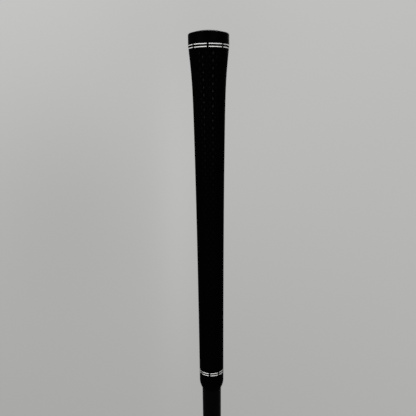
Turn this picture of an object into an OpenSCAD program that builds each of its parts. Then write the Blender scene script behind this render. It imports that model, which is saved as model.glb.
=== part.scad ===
// Fairway wood with a loft sleeve that unbolts from the head.
// +Z runs up the shaft axis to the grip. The origin is on that axis, between the two hands.
// The face looks along -Y, the toe points to -X and down, and the heel carries the hosel.

/* [Club] */
// Length from the top of the grip down the shaft to the ground
club_length = 1092; // [1040:1:1130]
// Distance from the top of the grip down to the middle of the hands
hold_distance = 100; // [80:1:140]
// Angle between the hosel and the ground
lie_angle = 57; // [55:0.5:59]
// Angle that the face leans back
loft_angle = 15; // [13:0.5:19]

/* [Grip] */
// Length of the grip from the top of its cap to its mouth
grip_length = 269; // [255:0.5:285]
// Diameter that the long taper settles to
grip_slim_d = 17.7; // [16.8:0.1:19]
// Diameter that the long taper adds at the top
grip_taper_d = 7.9; // [6:0.1:9]
// Length over which the long taper fades
grip_taper_fade = 120; // [100:1:150]
// Diameter that the flare adds at the top
grip_flare_d = 4.2; // [2:0.1:5]
// Length over which the flare fades
grip_flare_fade = 25; // [20:0.2:40]
// Depth of the seam between the cap and the sleeve
cap_depth = 9.4; // [8.6:0.1:9.8]
// Drop of the cap's dome from its middle to its rim
cap_dome = 2.1; // [1:0.1:3.4]
// Rounding of the cap's rim
cap_rim_r = 1.2; // [0.8:0.1:2.2]
// Thickness of the cap over the end of the shaft
cap_floor = 4.8; // [3.6:0.1:6]
// Length of the cap's spigot inside the sleeve
cap_spigot = 6; // [3:0.5:9]
// Diameter of the vent hole in the cap
vent_d = 3.2; // [2:0.1:4]
// Wall of the cap's spigot
spigot_wall = 2.4; // [1.6:0.1:3]
// Length of the rounded mouth
mouth_round = 7; // [3:0.5:9]
// Length of the lip that grips the bare shaft below the tape
mouth_lip = 5; // [3:0.5:8]
// Thickness of the grip tape
tape_t = 0.2; // [0.1:0.05:0.4]

/* [Grip bands] */
// Depth of the upper band's middle below the top of the grip
butt_band_at = 11.2; // [11:0.1:16]
// Distance of the lower band's middle from the mouth
mouth_band_at = 15.1; // [11:0.1:20]
// Distance between the two lines of the upper band
butt_band_pitch = 1.9; // [1.4:0.05:2.4]
// Distance between the two lines of the lower band
mouth_band_pitch = 1.7; // [1.4:0.05:2.4]
// Width of one line of a band
band_line = 0.5; // [0.5:0.05:1.2]
// Gap between two dashes
dash_gap = 1.4; // [0.6:0.05:2]
// Number of dashes round the upper band
butt_dashes = 8; // [5:1:9]
// Number of dashes round the lower band
mouth_dashes = 8; // [5:1:9]
// Angle of one of the upper band's gaps round the grip
butt_band_turn = -93; // [-180:1:180]
// Angle of one of the lower band's gaps round the grip
mouth_band_turn = -100; // [-180:1:180]
// Depth of the moulded groove that holds the paint
groove_depth = 0.3; // [0.2:0.05:0.5]
// Depth of the paint's face below the rubber
paint_sink = 0.06; // [0.02:0.02:0.1]

/* [Shaft] */
// Diameter of the parallel butt of the shaft
butt_d = 15.24; // [14.7:0.02:15.6]
// Diameter of the parallel tip of the shaft
tip_d = 8.51; // [8.3:0.01:9]
// Length of the parallel butt
butt_parallel = 195; // [100:1:240]
// Length of the parallel tip
tip_parallel = 128; // [80:1:160]
// Diameter of the hollow at the butt
butt_hollow_d = 13.2; // [12:0.1:13.4]
// Diameter of the hollow at the tip
tip_hollow_d = 4.6; // [4:0.1:5.4]
// Length of the tip weight's pin
tip_pin = 22; // [12:1:40]
// Thickness of the tip weight's flange
tip_flange = 1.2; // [0.8:0.1:2]
// Length of the stopper above the tip weight
stopper_length = 8; // [4:0.5:14]

/* [Loft sleeve] */
// Angle that the shaft bore leans inside the sleeve
bore_lean = 1; // [0:0.25:1.25]
// Outer diameter of the collar, the hosel and the ferrule
hosel_d = 13.5; // [13.2:0.1:14.5]
// Height of the collar that shows above the hosel
collar_height = 12; // [8:0.5:16]
// Length of the smooth barrel inside the hosel
barrel_length = 24.7; // [22:0.1:28]
// Length of the splined end
spline_length = 8.7; // [7:0.1:10]
// Diameter of the smooth barrel
barrel_d = 11.5; // [11.3:0.1:11.7]
// Number of splines
spline_count = 12; // [8:1:14]
// Diameter over the splines
spline_d = 10.2; // [10:0.1:10.4]
// Diameter between the splines
spline_root_d = 9; // [8.6:0.1:9.2]
// Width of one spline
spline_width = 1.1; // [0.8:0.05:1.2]
// Depth of the shaft bore below the top of the collar
shaft_bore_depth = 34; // [30:0.5:34.4]
// Gap between the shaft and its bore, filled by glue
glue_gap = 0.05; // [0.03:0.01:0.08]
// Length of the ferrule
ferrule_length = 22; // [14:0.5:30]
// Wall of the ferrule at its thin upper end
ferrule_lip = 0.5; // [0.3:0.05:0.8]

/* [Hosel] */
// Distance up the hosel axis from the ground to the top of the hosel
hosel_top = 50; // [48:0.5:54]
// Radial gap between the barrel and the hosel bore
barrel_gap = 0.08; // [0.05:0.01:0.1]
// Radial gap between the splines and their socket
spline_gap = 0.1; // [0.08:0.01:0.15]
// Thickness of the web that the bolt pulls on
web_t = 3; // [2:0.1:4]
// Gap between the end of the sleeve and the web
web_gap = 1; // [0.9:0.1:1.5]
// Diameter of the hosel where it runs through the head
root_d = 14; // [13.8:0.1:15]
// Distance up the hosel axis to the round end of that part
root_low = 5.5; // [4:0.5:7]
// Wall of the bolt port in the sole
port_wall = 1.6; // [1.2:0.1:2]
// Radial gap between the washer and the port
port_gap = 0.2; // [0.1:0.05:0.3]
// Gap above the splined socket
socket_gap = 0.3; // [0.2:0.05:0.6]

/* [Bolt] */
// Diameter of the bolt's thread
bolt_d = 4.9; // [4.7:0.02:4.9]
// Diameter of the bolt's head
bolt_head_d = 8.2; // [7.4:0.1:8.6]
// Height of the bolt's head
bolt_head_h = 3.6; // [3:0.1:4.5]
// Length of thread held by the insert
bolt_grip = 8.6; // [6:0.1:9]
// Size across the points of the six-lobe socket
lobe_d = 4.5; // [3.9:0.1:4.9]
// Depth of the six-lobe socket
lobe_depth = 2.4; // [1.5:0.1:2.8]
// Thickness of the washer under the head
washer_t = 1; // [0.6:0.1:1.4]
// How far the washer reaches past the bolt's head
washer_rim = 0.5; // [0.3:0.05:0.6]
// Outer diameter of the thread insert
insert_d = 6.6; // [6.2:0.1:7]
// Length of the thread insert
insert_length = 9.2; // [8:0.1:9.4]
// Radial gap between the bolt and its thread
thread_gap = 0.05; // [0.03:0.01:0.09]
// Thickness of the keeper ring on the bolt
keeper_t = 0.7; // [0.5:0.05:0.8]

/* [Head] */
// Half the width of the head from heel to toe
head_half_w = 49.5; // [47:0.5:52]
// Depth of the head from face to back
head_depth = 84; // [78:0.5:90]
// Height of the crown above the ground
crown_height = 38.5; // [36:0.5:41]
// Height of the top of the face
face_top = 35; // [33:0.5:36]
// Height of the widest line at the face
girth_height = 16; // [15:0.5:18]
// Drop of the widest line towards the back
girth_drop = 2.5; // [1:0.5:4]
// Rise of the leading edge above the lowest part of the sole
lead_rise = 2; // [1:0.25:3]
// Offset of the head's middle from the hosel axis at the ground
head_mid_x = -30; // [-33:0.5:-29]
// Offset of the leading edge ahead of the hosel axis
face_ahead = 17; // [15:0.5:19]
// Rise of the crown's toe side over its heel side
toe_rise = 1.5; // [0:0.1:2.5]
// Share by which the toe side is fuller than the heel side
pear = 0.05; // [0:0.01:0.08]
// How strongly the head's sections bow back in the middle
tail_bow = 3; // [0:0.25:3.5]
// Share by which the head narrows at the face
face_narrow = 0.165; // [0.12:0.005:0.2]
// Radius of the face from heel to toe
bulge_r = 280; // [220:10:360]
// Radius of the face from crown to sole
roll_r = 260; // [200:10:360]
// Rounding of the face's edge
face_edge = 1.5; // [0.5:0.1:2]
// Thickness of the face
face_t = 2; // [1.6:0.1:2.6]
// Thickness of the body's wall
wall_t = 1.1; // [1.05:0.05:1.4]
// Thickness of the crown
crown_t = 0.8; // [0.6:0.05:0.9]
// Gap under the crown, filled by glue
crown_glue = 0.1; // [0.05:0.01:0.12]
// Thickness of the ledge under the crown
ledge_t = 0.9; // [0.85:0.05:1.2]
// Height that the fillet climbs the hosel
fillet_rise = 6; // [3:0.5:8]
// Reach of the fillet from the hosel
fillet_reach = 5; // [3:0.5:7]
// Thickness of the mass pad behind the face
pad_t = 2; // [1:0.5:6]

/* [Rear weight] */
// Distance of the weight's middle from the back of the head
weight_inset = 20; // [17:0.5:23]
// Diameter of the weight
weight_d = 18; // [15:0.5:20]
// Depth of the weight's face below the sole
weight_recess = 0.5; // [0.4:0.05:0.8]
// Height of the weight
weight_h = 5.6; // [4:0.1:6.5]
// Radial gap round the weight
weight_gap = 0.2; // [0.1:0.05:0.4]
// Wall of the boss round the weight
boss_wall = 1.8; // [1.2:0.1:2.4]
// Diameter of the weight screw's thread
screw_d = 4.9; // [3.9:0.1:5.2]
// Diameter of the weight screw's head
screw_head_d = 8.4; // [7.4:0.1:9]
// Height of the weight screw's head
screw_head_h = 3; // [2.6:0.1:3.4]
// Length of the weight screw below its head
screw_length = 8; // [6:0.5:9]
// Thickness of the rubber gasket above the weight
gasket_t = 0.4; // [0.3:0.05:0.6]

/* [Hidden] */
$fn = 96;

EPS = 0.01;                 // overlap that lets a cut run past a face
EDGE = 0.3;                 // chamfer where the ferrule, the collar and the hosel meet
SCREW_EDGE = 0.4;           // chamfer round a screw's head
LEAD_IN = 0.6;              // taper at a bolt's tip and at the weight's rim
HOLE_PLAY = 0.4;            // how much wider a hole is than the screw through it
HOSEL_STRAIGHT = 8;         // straight stretch at the top of the hosel
HOSEL_SWELL = 16;           // stretch below it over which the hosel widens
SIDES = 48;                 // points round a section of the head
BACK_RINGS = 22;            // sections behind the face's rounded edge
CUP_RINGS = 4;              // sections that the face cup reaches back
FACE_RINGS = 5;             // rings of points across the face
CROWN_SIDES = [6, 20];      // sides between which the crown panel lies
PAD_SIDES = [31, 41];       // sides between which the mass pad lies

butt_r = butt_d / 2;
tip_r = tip_d / 2;
hosel_r = hosel_d / 2;
barrel_r = barrel_d / 2;
hosel_bore_r = barrel_r + barrel_gap;
collar_top = hosel_top + collar_height;             // all of these run up the hosel axis from the ground
sleeve_low = hosel_top - barrel_length - spline_length;
web_top = sleeve_low - web_gap;
web_low = web_top - web_t;
seat_low = web_low - washer_t;
bolt_low = seat_low - bolt_head_h;
bolt_high = sleeve_low + bolt_grip;
bend_z = hold_distance - club_length + collar_top;  // where the shaft axis and the hosel axis cross
shaft_top_z = hold_distance - cap_floor;
shaft_low_z = bend_z - shaft_bore_depth + tip_flange + glue_gap;
shaft_length = shaft_top_z - shaft_low_z;
thread_r = bolt_d / 2 + thread_gap;
washer_r = bolt_head_d / 2 + washer_rim;
port_r = washer_r + port_gap;
weight_r = weight_d / 2;
weight_top = weight_recess + weight_h;              // these run in from the sole, along the weight's axis
pocket_top = weight_top + gasket_t;
boss_top = weight_recess + screw_head_h + screw_length + 2;

// ---------- placing ----------

// From the top of the grip, with z running down the club as negative depths.
module from_top() translate([0, 0, hold_distance]) children();

// On the hosel axis, with z = 0 where that axis meets the ground.
module on_hosel() translate([0, 0, bend_z]) rotate([0, bore_lean, 0])
    translate([0, 0, -collar_top]) children();

// In the head as it sits at address: the ground is z = 0.
module at_address() on_hosel() rotate([0, lie_angle - 90, 0]) children();

// ---------- grip ----------

// Outer radius of the rubber at a depth below the top of the grip.
function grip_r(depth) = (grip_slim_d + grip_taper_d * exp(-depth / grip_taper_fade)
    + grip_flare_d * exp(-pow(depth / grip_flare_fade, 2))) / 2;

// Outer radius of the shaft at a depth below its own top.
function shaft_r(depth) =
    let (taper = (depth - butt_parallel) / (shaft_length - butt_parallel - tip_parallel))
    butt_r + (tip_r - butt_r) * max(0, min(1, taper));

// Radius of the taped shaft at a depth below the top of the grip.
function taped_r(depth) = shaft_r(depth - cap_floor) + tape_t;

cap_r = grip_r(cap_depth);
seat_r = taped_r(cap_depth);
spigot_r = seat_r + spigot_wall;
tape_end = grip_length - mouth_lip;
knee = cap_floor + butt_parallel;   // depth at which the shaft starts to taper

module grip_end_cap() {
    rim_tilt = atan(cap_dome * 2 / cap_r);
    dome_r = cap_r - cap_rim_r * (1 - sin(rim_tilt));
    rim_z = -cap_dome - cap_rim_r * cos(rim_tilt);
    color([0.05, 0.05, 0.05]) from_top() difference() {
        rotate_extrude() polygon(concat(
            [for (k = [0:12]) [dome_r * k / 12, -cap_dome * pow(k / 12, 2)]],
            [for (k = [1:6]) let (a = (90 - rim_tilt) * (1 - k / 6))
                [cap_r - cap_rim_r * (1 - cos(a)), rim_z + cap_rim_r * sin(a)]],
            [[cap_r, -cap_depth], [spigot_r, -cap_depth], [spigot_r, -cap_depth - cap_spigot],
             [seat_r, -cap_depth - cap_spigot], [seat_r, -cap_floor], [0, -cap_floor]]
        ));
        translate([0, 0, -cap_floor - 1]) cylinder(d = vent_d, h = cap_floor + 2);
    }
}

// One line of a band: dashes that sit in the rubber between two depths under its surface.
module dash_line(depth, count, from, to) {
    top = depth - band_line / 2;
    low = depth + band_line / 2;
    gap = dash_gap / (2 * PI * grip_r(depth)) * 360;
    for (k = [0:count - 1]) rotate([0, 0, k * 360 / count + gap / 2])
        rotate_extrude(angle = 360 / count - gap) polygon([
            [grip_r(top) - from, -top], [grip_r(top) - to, -top],
            [grip_r(low) - to, -low], [grip_r(low) - from, -low]
        ]);
}

module band(depth, pitch, count, from, to) for (side = [-1, 1])
    dash_line(depth + side * pitch / 2, count, from, to);

module butt_band(from, to) rotate([0, 0, butt_band_turn])
    band(butt_band_at, butt_band_pitch, butt_dashes, from, to);
module mouth_band(from, to) rotate([0, 0, mouth_band_turn])
    band(grip_length - mouth_band_at, mouth_band_pitch, mouth_dashes, from, to);

module butt_band_paint() color("white") from_top() butt_band(groove_depth, paint_sink);
module mouth_band_paint() color("white") from_top() mouth_band(groove_depth, paint_sink);

module grip_sleeve() {
    steps = 36;
    round_at = grip_length - mouth_round;
    bare_r = shaft_r(grip_length - cap_floor);
    wall = grip_r(round_at) - bare_r;
    color([0.06, 0.06, 0.06]) from_top() difference() {
        rotate_extrude() polygon(concat(
            [for (k = [0:steps]) let (d = cap_depth + (round_at - cap_depth) * pow(k / steps, 1.5))
                [grip_r(d), -d]],
            [for (k = [1:8]) let (t = k / 8) [bare_r + wall * (1 - t * t), -round_at - mouth_round * t]],
            [[shaft_r(tape_end - cap_floor), -tape_end], [taped_r(tape_end), -tape_end],
             [taped_r(knee), -knee], [seat_r, -cap_depth - cap_spigot],
             [spigot_r, -cap_depth - cap_spigot], [spigot_r, -cap_depth]]
        ));
        butt_band(groove_depth, -1);
        mouth_band(groove_depth, -1);
    }
}

module grip_tape() color([0.85, 0.82, 0.7]) from_top() rotate_extrude() polygon([
    [butt_r, -cap_floor], [taped_r(cap_floor), -cap_floor], [taped_r(knee), -knee],
    [taped_r(tape_end), -tape_end], [shaft_r(tape_end - cap_floor), -tape_end], [butt_r, -knee]
]);

// ---------- shaft ----------

module shaft() color([0.08, 0.08, 0.09]) translate([0, 0, shaft_top_z]) rotate_extrude() polygon([
    [butt_hollow_d / 2, 0], [butt_r, 0], [butt_r, -butt_parallel],
    [tip_r, tip_parallel - shaft_length], [tip_r, -shaft_length],
    [tip_hollow_d / 2, -shaft_length], [tip_hollow_d / 2, tip_parallel - shaft_length],
    [butt_hollow_d / 2, -butt_parallel]
]);

module tip_weight() {
    pin_r = tip_hollow_d / 2 - glue_gap;
    color([0.78, 0.62, 0.3]) translate([0, 0, shaft_low_z - tip_flange]) {
        cylinder(r = tip_r - glue_gap * 4, h = tip_flange);
        cylinder(r = pin_r, h = tip_flange + tip_pin);
    }
}

module tip_stopper() color([0.75, 0.7, 0.6]) translate([0, 0, shaft_low_z + tip_pin])
    cylinder(r = tip_hollow_d / 2, h = stopper_length);

module ferrule() color([0.04, 0.04, 0.04]) translate([0, 0, bend_z]) rotate_extrude() polygon(concat(
    [[tip_r + glue_gap, 0], [hosel_r - EDGE, 0]],
    [for (k = [0:8]) let (u = k / 8)
        [hosel_r - (hosel_r - tip_r - ferrule_lip) * (0.25 * u + 0.75 * u * u),
         EDGE + u * (ferrule_length - EDGE)]],
    [[tip_r + glue_gap, ferrule_length]]
));

// ---------- loft sleeve ----------

// Outline of a splined bar: a round core with straight-sided ribs.
module spline_outline(root_r, tip_r, width) {
    circle(r = root_r);
    intersection() {
        circle(r = tip_r);
        for (k = [0:spline_count - 1]) rotate(k * 360 / spline_count)
            translate([0, -width / 2]) square([tip_r + 1, width]);
    }
}

module loft_sleeve() color([0.16, 0.16, 0.17]) difference() {
    on_hosel() union() {
        translate([0, 0, sleeve_low]) linear_extrude(spline_length + EPS)
            spline_outline(spline_root_d / 2, spline_d / 2, spline_width);
        translate([0, 0, sleeve_low + spline_length]) cylinder(r = barrel_r, h = barrel_length);
        translate([0, 0, hosel_top]) cylinder(r1 = hosel_r - EDGE, r2 = hosel_r, h = EDGE);
        translate([0, 0, hosel_top + EDGE]) cylinder(r = hosel_r, h = collar_height + 2);
    }
    translate([0, 0, bend_z]) cylinder(r = hosel_d, h = 6);
    translate([0, 0, bend_z - shaft_bore_depth])
        cylinder(r = tip_r + glue_gap, h = shaft_bore_depth + 1);
    on_hosel() translate([0, 0, sleeve_low - 1]) cylinder(d = insert_d, h = insert_length + 1);
}

module thread_insert() color([0.7, 0.7, 0.72]) on_hosel() translate([0, 0, sleeve_low]) difference() {
    cylinder(d = insert_d, h = insert_length);
    translate([0, 0, -1]) cylinder(r = thread_r, h = insert_length + 2);
}

// ---------- bolt ----------

// A six-lobe socket, cut downwards from z = 0 when depth is positive.
module six_lobe(depth) translate([0, 0, -1]) linear_extrude(depth + 1) {
    circle(d = lobe_d * 0.78);
    for (k = [0:5]) rotate(k * 60) translate([lobe_d * 0.36, 0]) circle(d = lobe_d * 0.28);
}

// A screw's head with its lower edge chamfered.
module screw_head(across, height) {
    cylinder(d1 = across - 2 * SCREW_EDGE, d2 = across, h = SCREW_EDGE);
    translate([0, 0, SCREW_EDGE]) cylinder(d = across, h = height - SCREW_EDGE);
}

module hosel_bolt() color([0.6, 0.6, 0.62]) on_hosel() difference() {
    union() {
        translate([0, 0, bolt_low]) screw_head(bolt_head_d, bolt_head_h);
        translate([0, 0, seat_low]) cylinder(d = bolt_d, h = bolt_high - seat_low - LEAD_IN);
        translate([0, 0, bolt_high - LEAD_IN])
            cylinder(d1 = bolt_d, d2 = bolt_d - 2 * LEAD_IN, h = LEAD_IN);
    }
    translate([0, 0, bolt_low]) six_lobe(lobe_depth);
}

module ring(outer_d, inner_d, height) difference() {
    cylinder(d = outer_d, h = height);
    translate([0, 0, -1]) cylinder(d = inner_d, h = height + 2);
}

module bolt_washer() color([0.75, 0.75, 0.76]) on_hosel() translate([0, 0, seat_low])
    ring(2 * washer_r, bolt_d + HOLE_PLAY, washer_t);

module bolt_keeper() color([0.1, 0.1, 0.1]) on_hosel() translate([0, 0, web_top + 0.1])
    ring(spline_root_d - 1, bolt_d, keeper_t);

// ---------- head surface ----------

mid_height = (face_top + lead_rise) / 2;

// Share of the head's depth at each section, close together at the face and at the back.
shares = concat([0, 0.006, 0.015], [for (k = [0:BACK_RINGS]) 0.03 + 0.9685 * sin(90 * k / BACK_RINGS)]);
last_ring = len(shares) - 1;

function bounded(value, low, high) = max(low, min(high, value));

// How far the face at x and z lies behind the leading edge's middle.
function face_set_back(x, z) = (z - mid_height) * tan(loft_angle)
    + pow(x - head_mid_x, 2) / (2 * bulge_r) + pow(z - mid_height, 2) / (2 * roll_r);

function half_width(v) = head_half_w * sqrt(1 - pow(v, 3))
    * (1 - face_narrow * pow(bounded(1 - v / 0.4, 0, 1), 2));
function girth_z(v) = girth_height - girth_drop * v;
function top_z(v) = v < 0.22
    ? crown_height - (crown_height - face_top) * pow(1 - v / 0.22, 2)
    : girth_z(v) + (crown_height - girth_z(v)) * pow(1 - pow((v - 0.22) / 0.78, 2.2), 0.6);
function low_z(v) = v < 0.2
    ? lead_rise * pow(1 - v / 0.2, 2)
    : girth_z(v) * (1 - sqrt(1 - pow((v - 0.2) / 0.8, 3)));

// Superellipse term: keeps the sign and bends the curve.
function bent(value, power) = sign(value) * pow(abs(value), power);

// The hosel axis climbs towards the heel; a surface near it is drawn up into a fillet.
hosel_dir = [cos(lie_angle), 0, sin(lie_angle)];
function filleted(p, girth) =
    let (away = max(0, norm(cross(p, hosel_dir)) - hosel_r))
    p + hosel_dir * fillet_rise * exp(-pow(away / fillet_reach, 2))
        * bounded((p.z - girth) / 8 + 0.5, 0, 1);

// A point of the head's outer surface, at a share of the depth and an angle a round the section.
function skin(share, a) =
    let (
        v = share - tail_bow * pow(share, 4) * (1 - share) * pow(cos(a), 2),
        inset = face_edge * pow(bounded(1 - v / 0.03, 0, 1), 2),
        power = a < 180 ? 0.87 : 0.72,
        fullness = 1 - pear * cos(a) * 6.75 * v * v * (1 - v),
        x = head_mid_x + (half_width(v) - inset) * bent(cos(a), power) * fullness,
        girth = girth_z(v),
        reach = a < 180 ? top_z(v) - girth - inset : girth - low_z(v) - inset,
        lift = a < 180 ? -toe_rise * sin(2 * a) * (1 - v) : 0,
        z = girth + reach * bent(sin(a), power) + lift,
        y = head_depth * v - face_ahead + pow(1 - v, 3) * face_set_back(x, z)
    )
    filleted([x, y, z], girth);

rings = [for (v = shares) [for (j = [0:SIDES - 1]) skin(v, j * 360 / SIDES)]];

function unit(vector) = vector / norm(vector);
function at(grid, i, j) = grid[bounded(i, 0, last_ring)][(j + SIDES) % SIDES];
function inward(i, j) = unit(cross(at(rings, i, j + 1) - at(rings, i, j - 1),
    at(rings, i + 1, j) - at(rings, i - 1, j)));
normals = [for (i = [0:last_ring]) [for (j = [0:SIDES - 1]) inward(i, j)]];
function under(i, j, depth) = rings[i][j] + normals[i][j] * depth;

// A point of the face at share q from its middle to its edge, a depth behind its front.
function face_point(q, j, depth) =
    let (
        edge = under(0, j, depth),
        x = head_mid_x + (edge.x - head_mid_x) * q,
        z = mid_height + (edge.z - mid_height) * q,
        dome = depth - face_ahead + face_set_back(x, z),
        lip = edge.y - (depth - face_ahead + face_set_back(edge.x, edge.z))
    )
    [x, dome + q * q * lip, z];
function face_rows(depth) = [for (k = [1:FACE_RINGS - 1]) [for (j = [0:SIDES - 1])
    face_point(k / FACE_RINGS, j, depth)]];

// Triangles of a four-cornered patch.
function two(a, b, c, d) = [[a, b, c], [a, c, d]];
function flat(lists) = [for (l = lists) each l];

// A closed solid of rows of points, each as long as a section, with a fan of triangles at each end.
module rows_solid(rows, first_pole, last_pole) {
    last = len(rows) - 1;
    pole = len(rows) * SIDES;
    function id(i, j) = i * SIDES + (j + SIDES) % SIDES;
    polyhedron(concat(flat(rows), [first_pole, last_pole]), concat(
        flat([for (i = [0:last - 1]) flat([for (j = [0:SIDES - 1])
            two(id(i, j), id(i, j + 1), id(i + 1, j + 1), id(i + 1, j))])]),
        [for (j = [0:SIDES - 1]) [pole, id(0, j + 1), id(0, j)]],
        [for (j = [0:SIDES - 1]) [pole + 1, id(last, j), id(last, j + 1)]]
    ), convexity = 6);
}

// A closed shell in layers. Layer k lies between two of the depths under the skin, and its cell i, j
// is solid where on(i, j, k) holds. A fan of triangles may close the last ring at the back.
module shell(first, last, depths, on, close_back) {
    layers = len(depths) - 1;
    count = (last - first + 1) * SIDES;
    pole = len(depths) * count;
    function id(i, j, k) = k * count + (i - first) * SIDES + (j + SIDES) % SIDES;
    function bare(i, j, k) = i < first || i >= last || k < 0 || k >= layers
        || !on(i, (j + SIDES) % SIDES, k);
    cells = [for (i = [first:last - 1]) for (j = [0:SIDES - 1]) for (k = [0:layers - 1])
        if (on(i, j, k)) [i, j, k]];
    faces = [for (c = cells) let (i = c.x, j = c.y, k = c.z, back = close_back && i == last - 1) concat(
        !bare(i, j, k - 1) ? [] : two(id(i, j, k), id(i, j + 1, k), id(i + 1, j + 1, k), id(i + 1, j, k)),
        !bare(i, j, k + 1) ? []
            : two(id(i, j, k + 1), id(i + 1, j, k + 1), id(i + 1, j + 1, k + 1), id(i, j + 1, k + 1)),
        !bare(i - 1, j, k) ? [] : two(id(i, j, k), id(i, j, k + 1), id(i, j + 1, k + 1), id(i, j + 1, k)),
        !bare(i + 1, j, k) || back ? []
            : two(id(i + 1, j, k), id(i + 1, j + 1, k), id(i + 1, j + 1, k + 1), id(i + 1, j, k + 1)),
        !bare(i, j - 1, k) ? [] : two(id(i, j, k), id(i + 1, j, k), id(i + 1, j, k + 1), id(i, j, k + 1)),
        !bare(i, j + 1, k) ? []
            : two(id(i, j + 1, k), id(i, j + 1, k + 1), id(i + 1, j + 1, k + 1), id(i + 1, j + 1, k)),
        back && bare(i, j, k - 1) ? [[id(last, j, k), id(last, j + 1, k), pole + k]] : [],
        back && bare(i, j, k + 1) ? [[id(last, j + 1, k + 1), id(last, j, k + 1), pole + k + 1]] : []
    )];
    polyhedron(concat(
        flat([for (d = depths) flat([for (i = [first:last]) [for (j = [0:SIDES - 1]) under(i, j, d)]])]),
        [for (d = depths) [head_mid_x, head_depth - face_ahead - d, girth_z(1)]]
    ), flat(faces), convexity = 6);
}

// ---------- head pieces ----------

crown_first = CUP_RINGS + 1;
crown_last = last_ring - 5;
function in_crown(i, j, grow) = i >= crown_first - grow && i < crown_last + grow
    && j >= CROWN_SIDES[0] - grow && j < CROWN_SIDES[1] + grow;

module crown() color([0.05, 0.05, 0.06]) at_address()
    shell(crown_first, crown_last, [0, crown_t], function (i, j, k) in_crown(i, j, 0), false);

module mass_pad() color([0.45, 0.45, 0.47]) difference() {
    at_address() shell(CUP_RINGS, CUP_RINGS + 4, [wall_t, wall_t + pad_t],
        function (i, j, k) j >= PAD_SIDES[0] && j < PAD_SIDES[1], false);
    hosel_core();
    port_tube();
}

// The face cup: a domed plate whose edge turns back along the head.
module face_cup() {
    rows = concat(
        face_rows(0), [for (i = [0:CUP_RINGS]) rings[i]],
        [for (i = [CUP_RINGS:-1:2]) [for (j = [0:SIDES - 1]) under(i, j, wall_t)]],
        [for (k = [FACE_RINGS - 2:-1:0]) face_rows(face_t)[k]]
    );
    color([0.7, 0.7, 0.72]) difference() {
        at_address() rows_solid(rows, face_point(0, 0, 0), face_point(0, 0, face_t));
        hosel_core();
    }
}

// The hosel, and the part of it that runs down through the heel to a round end near the sole.
module hosel_core() {
    ball_r = root_d / 2;
    on_hosel() rotate_extrude() polygon(concat(
        [[0, hosel_top], [hosel_r - EDGE, hosel_top], [hosel_r, hosel_top - EDGE],
         [hosel_r, hosel_top - HOSEL_STRAIGHT]],
        [for (k = [1:6]) let (u = k / 6)
            [hosel_r + (ball_r - hosel_r) * u * u, hosel_top - HOSEL_STRAIGHT - HOSEL_SWELL * u]],
        [for (k = [0:8]) let (a = -k * 90 / 8) [ball_r * cos(a), root_low + ball_r * (1 + sin(a))]]
    ));
}

// The bolt port's tube, which ends inside the wall of the sole.
module port_tube() {
    depth = wall_t / 2;
    rows = concat(face_rows(depth), [for (i = [2:last_ring]) [for (j = [0:SIDES - 1]) under(i, j, depth)]]);
    intersection() {
        at_address() rows_solid(rows, face_point(0, 0, depth),
            [head_mid_x, head_depth - face_ahead - depth, girth_z(1)]);
        on_hosel() translate([0, 0, -port_r]) cylinder(r = port_r + port_wall, h = port_r + web_top);
    }
}

// At the rear weight, on the sole and turned square to it.
weight_share = 1 - weight_inset / head_depth;
weight_seat = skin(weight_share, 270);
weight_run = skin(weight_share + 0.05, 270) - skin(weight_share - 0.05, 270);
module at_weight() at_address() translate(weight_seat)
    rotate([atan2(weight_run.z, weight_run.y), 0, 0]) children();

// The body's wall. It is thicker along the crown's edge, where a ledge carries the crown.
module body_shell() shell(
    CUP_RINGS, last_ring,
    [0, crown_t + crown_glue, wall_t, crown_t + crown_glue + ledge_t],
    function (i, j, k) in_crown(i, j, 0) ? !in_crown(i, j, -1) && k > 0 : k < 2 || in_crown(i, j, 1),
    true
);

module head_body() {
    color([0.2, 0.2, 0.21]) difference() {
        union() {
            at_address() body_shell();
            hosel_core();
            port_tube();
            at_weight() translate([0, 0, wall_t * 0.9])
                cylinder(r = weight_r + weight_gap + boss_wall, h = boss_top - wall_t * 0.9);
        }
        on_hosel() translate([0, 0, web_top]) cylinder(r = hosel_bore_r, h = hosel_top);
        on_hosel() cylinder(r = bolt_d / 2 + 0.3, h = hosel_top);
        on_hosel() translate([0, 0, -2 * port_r]) cylinder(r = port_r, h = web_low + 2 * port_r);
        at_weight() translate([0, 0, -weight_r]) cylinder(r = weight_r + weight_gap, h = pocket_top + weight_r);
        at_weight() cylinder(r = screw_d / 2 + thread_gap, h = boss_top - 1);
    }
}

module spline_socket() color([0.55, 0.55, 0.57]) on_hosel() translate([0, 0, web_top]) difference() {
    cylinder(r = hosel_bore_r, h = web_gap + spline_length - socket_gap);
    translate([0, 0, -1]) linear_extrude(web_gap + spline_length + 2)
        spline_outline(spline_root_d / 2 + spline_gap, spline_d / 2 + spline_gap, spline_width + 2 * spline_gap);
}

// ---------- rear weight ----------

module rear_weight() color([0.5, 0.5, 0.5]) at_weight() difference() {
    translate([0, 0, weight_recess]) union() {
        cylinder(r1 = weight_r - LEAD_IN, r2 = weight_r, h = LEAD_IN);
        translate([0, 0, LEAD_IN]) cylinder(r = weight_r, h = weight_h - LEAD_IN);
    }
    translate([0, 0, weight_recess - 1]) cylinder(d = screw_head_d + HOLE_PLAY, h = screw_head_h + 1);
    cylinder(d = screw_d + HOLE_PLAY, h = weight_top + 1);
}

module weight_gasket() color([0.1, 0.1, 0.1]) at_weight() translate([0, 0, weight_top])
    ring(weight_d - 1, screw_d + 3, gasket_t);

module weight_screw() color([0.62, 0.62, 0.64]) at_weight() difference() {
    union() {
        translate([0, 0, weight_recess]) screw_head(screw_head_d, screw_head_h);
        translate([0, 0, weight_recess + screw_head_h]) cylinder(d = screw_d, h = screw_length);
    }
    translate([0, 0, weight_recess]) six_lobe(lobe_depth);
}

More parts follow.
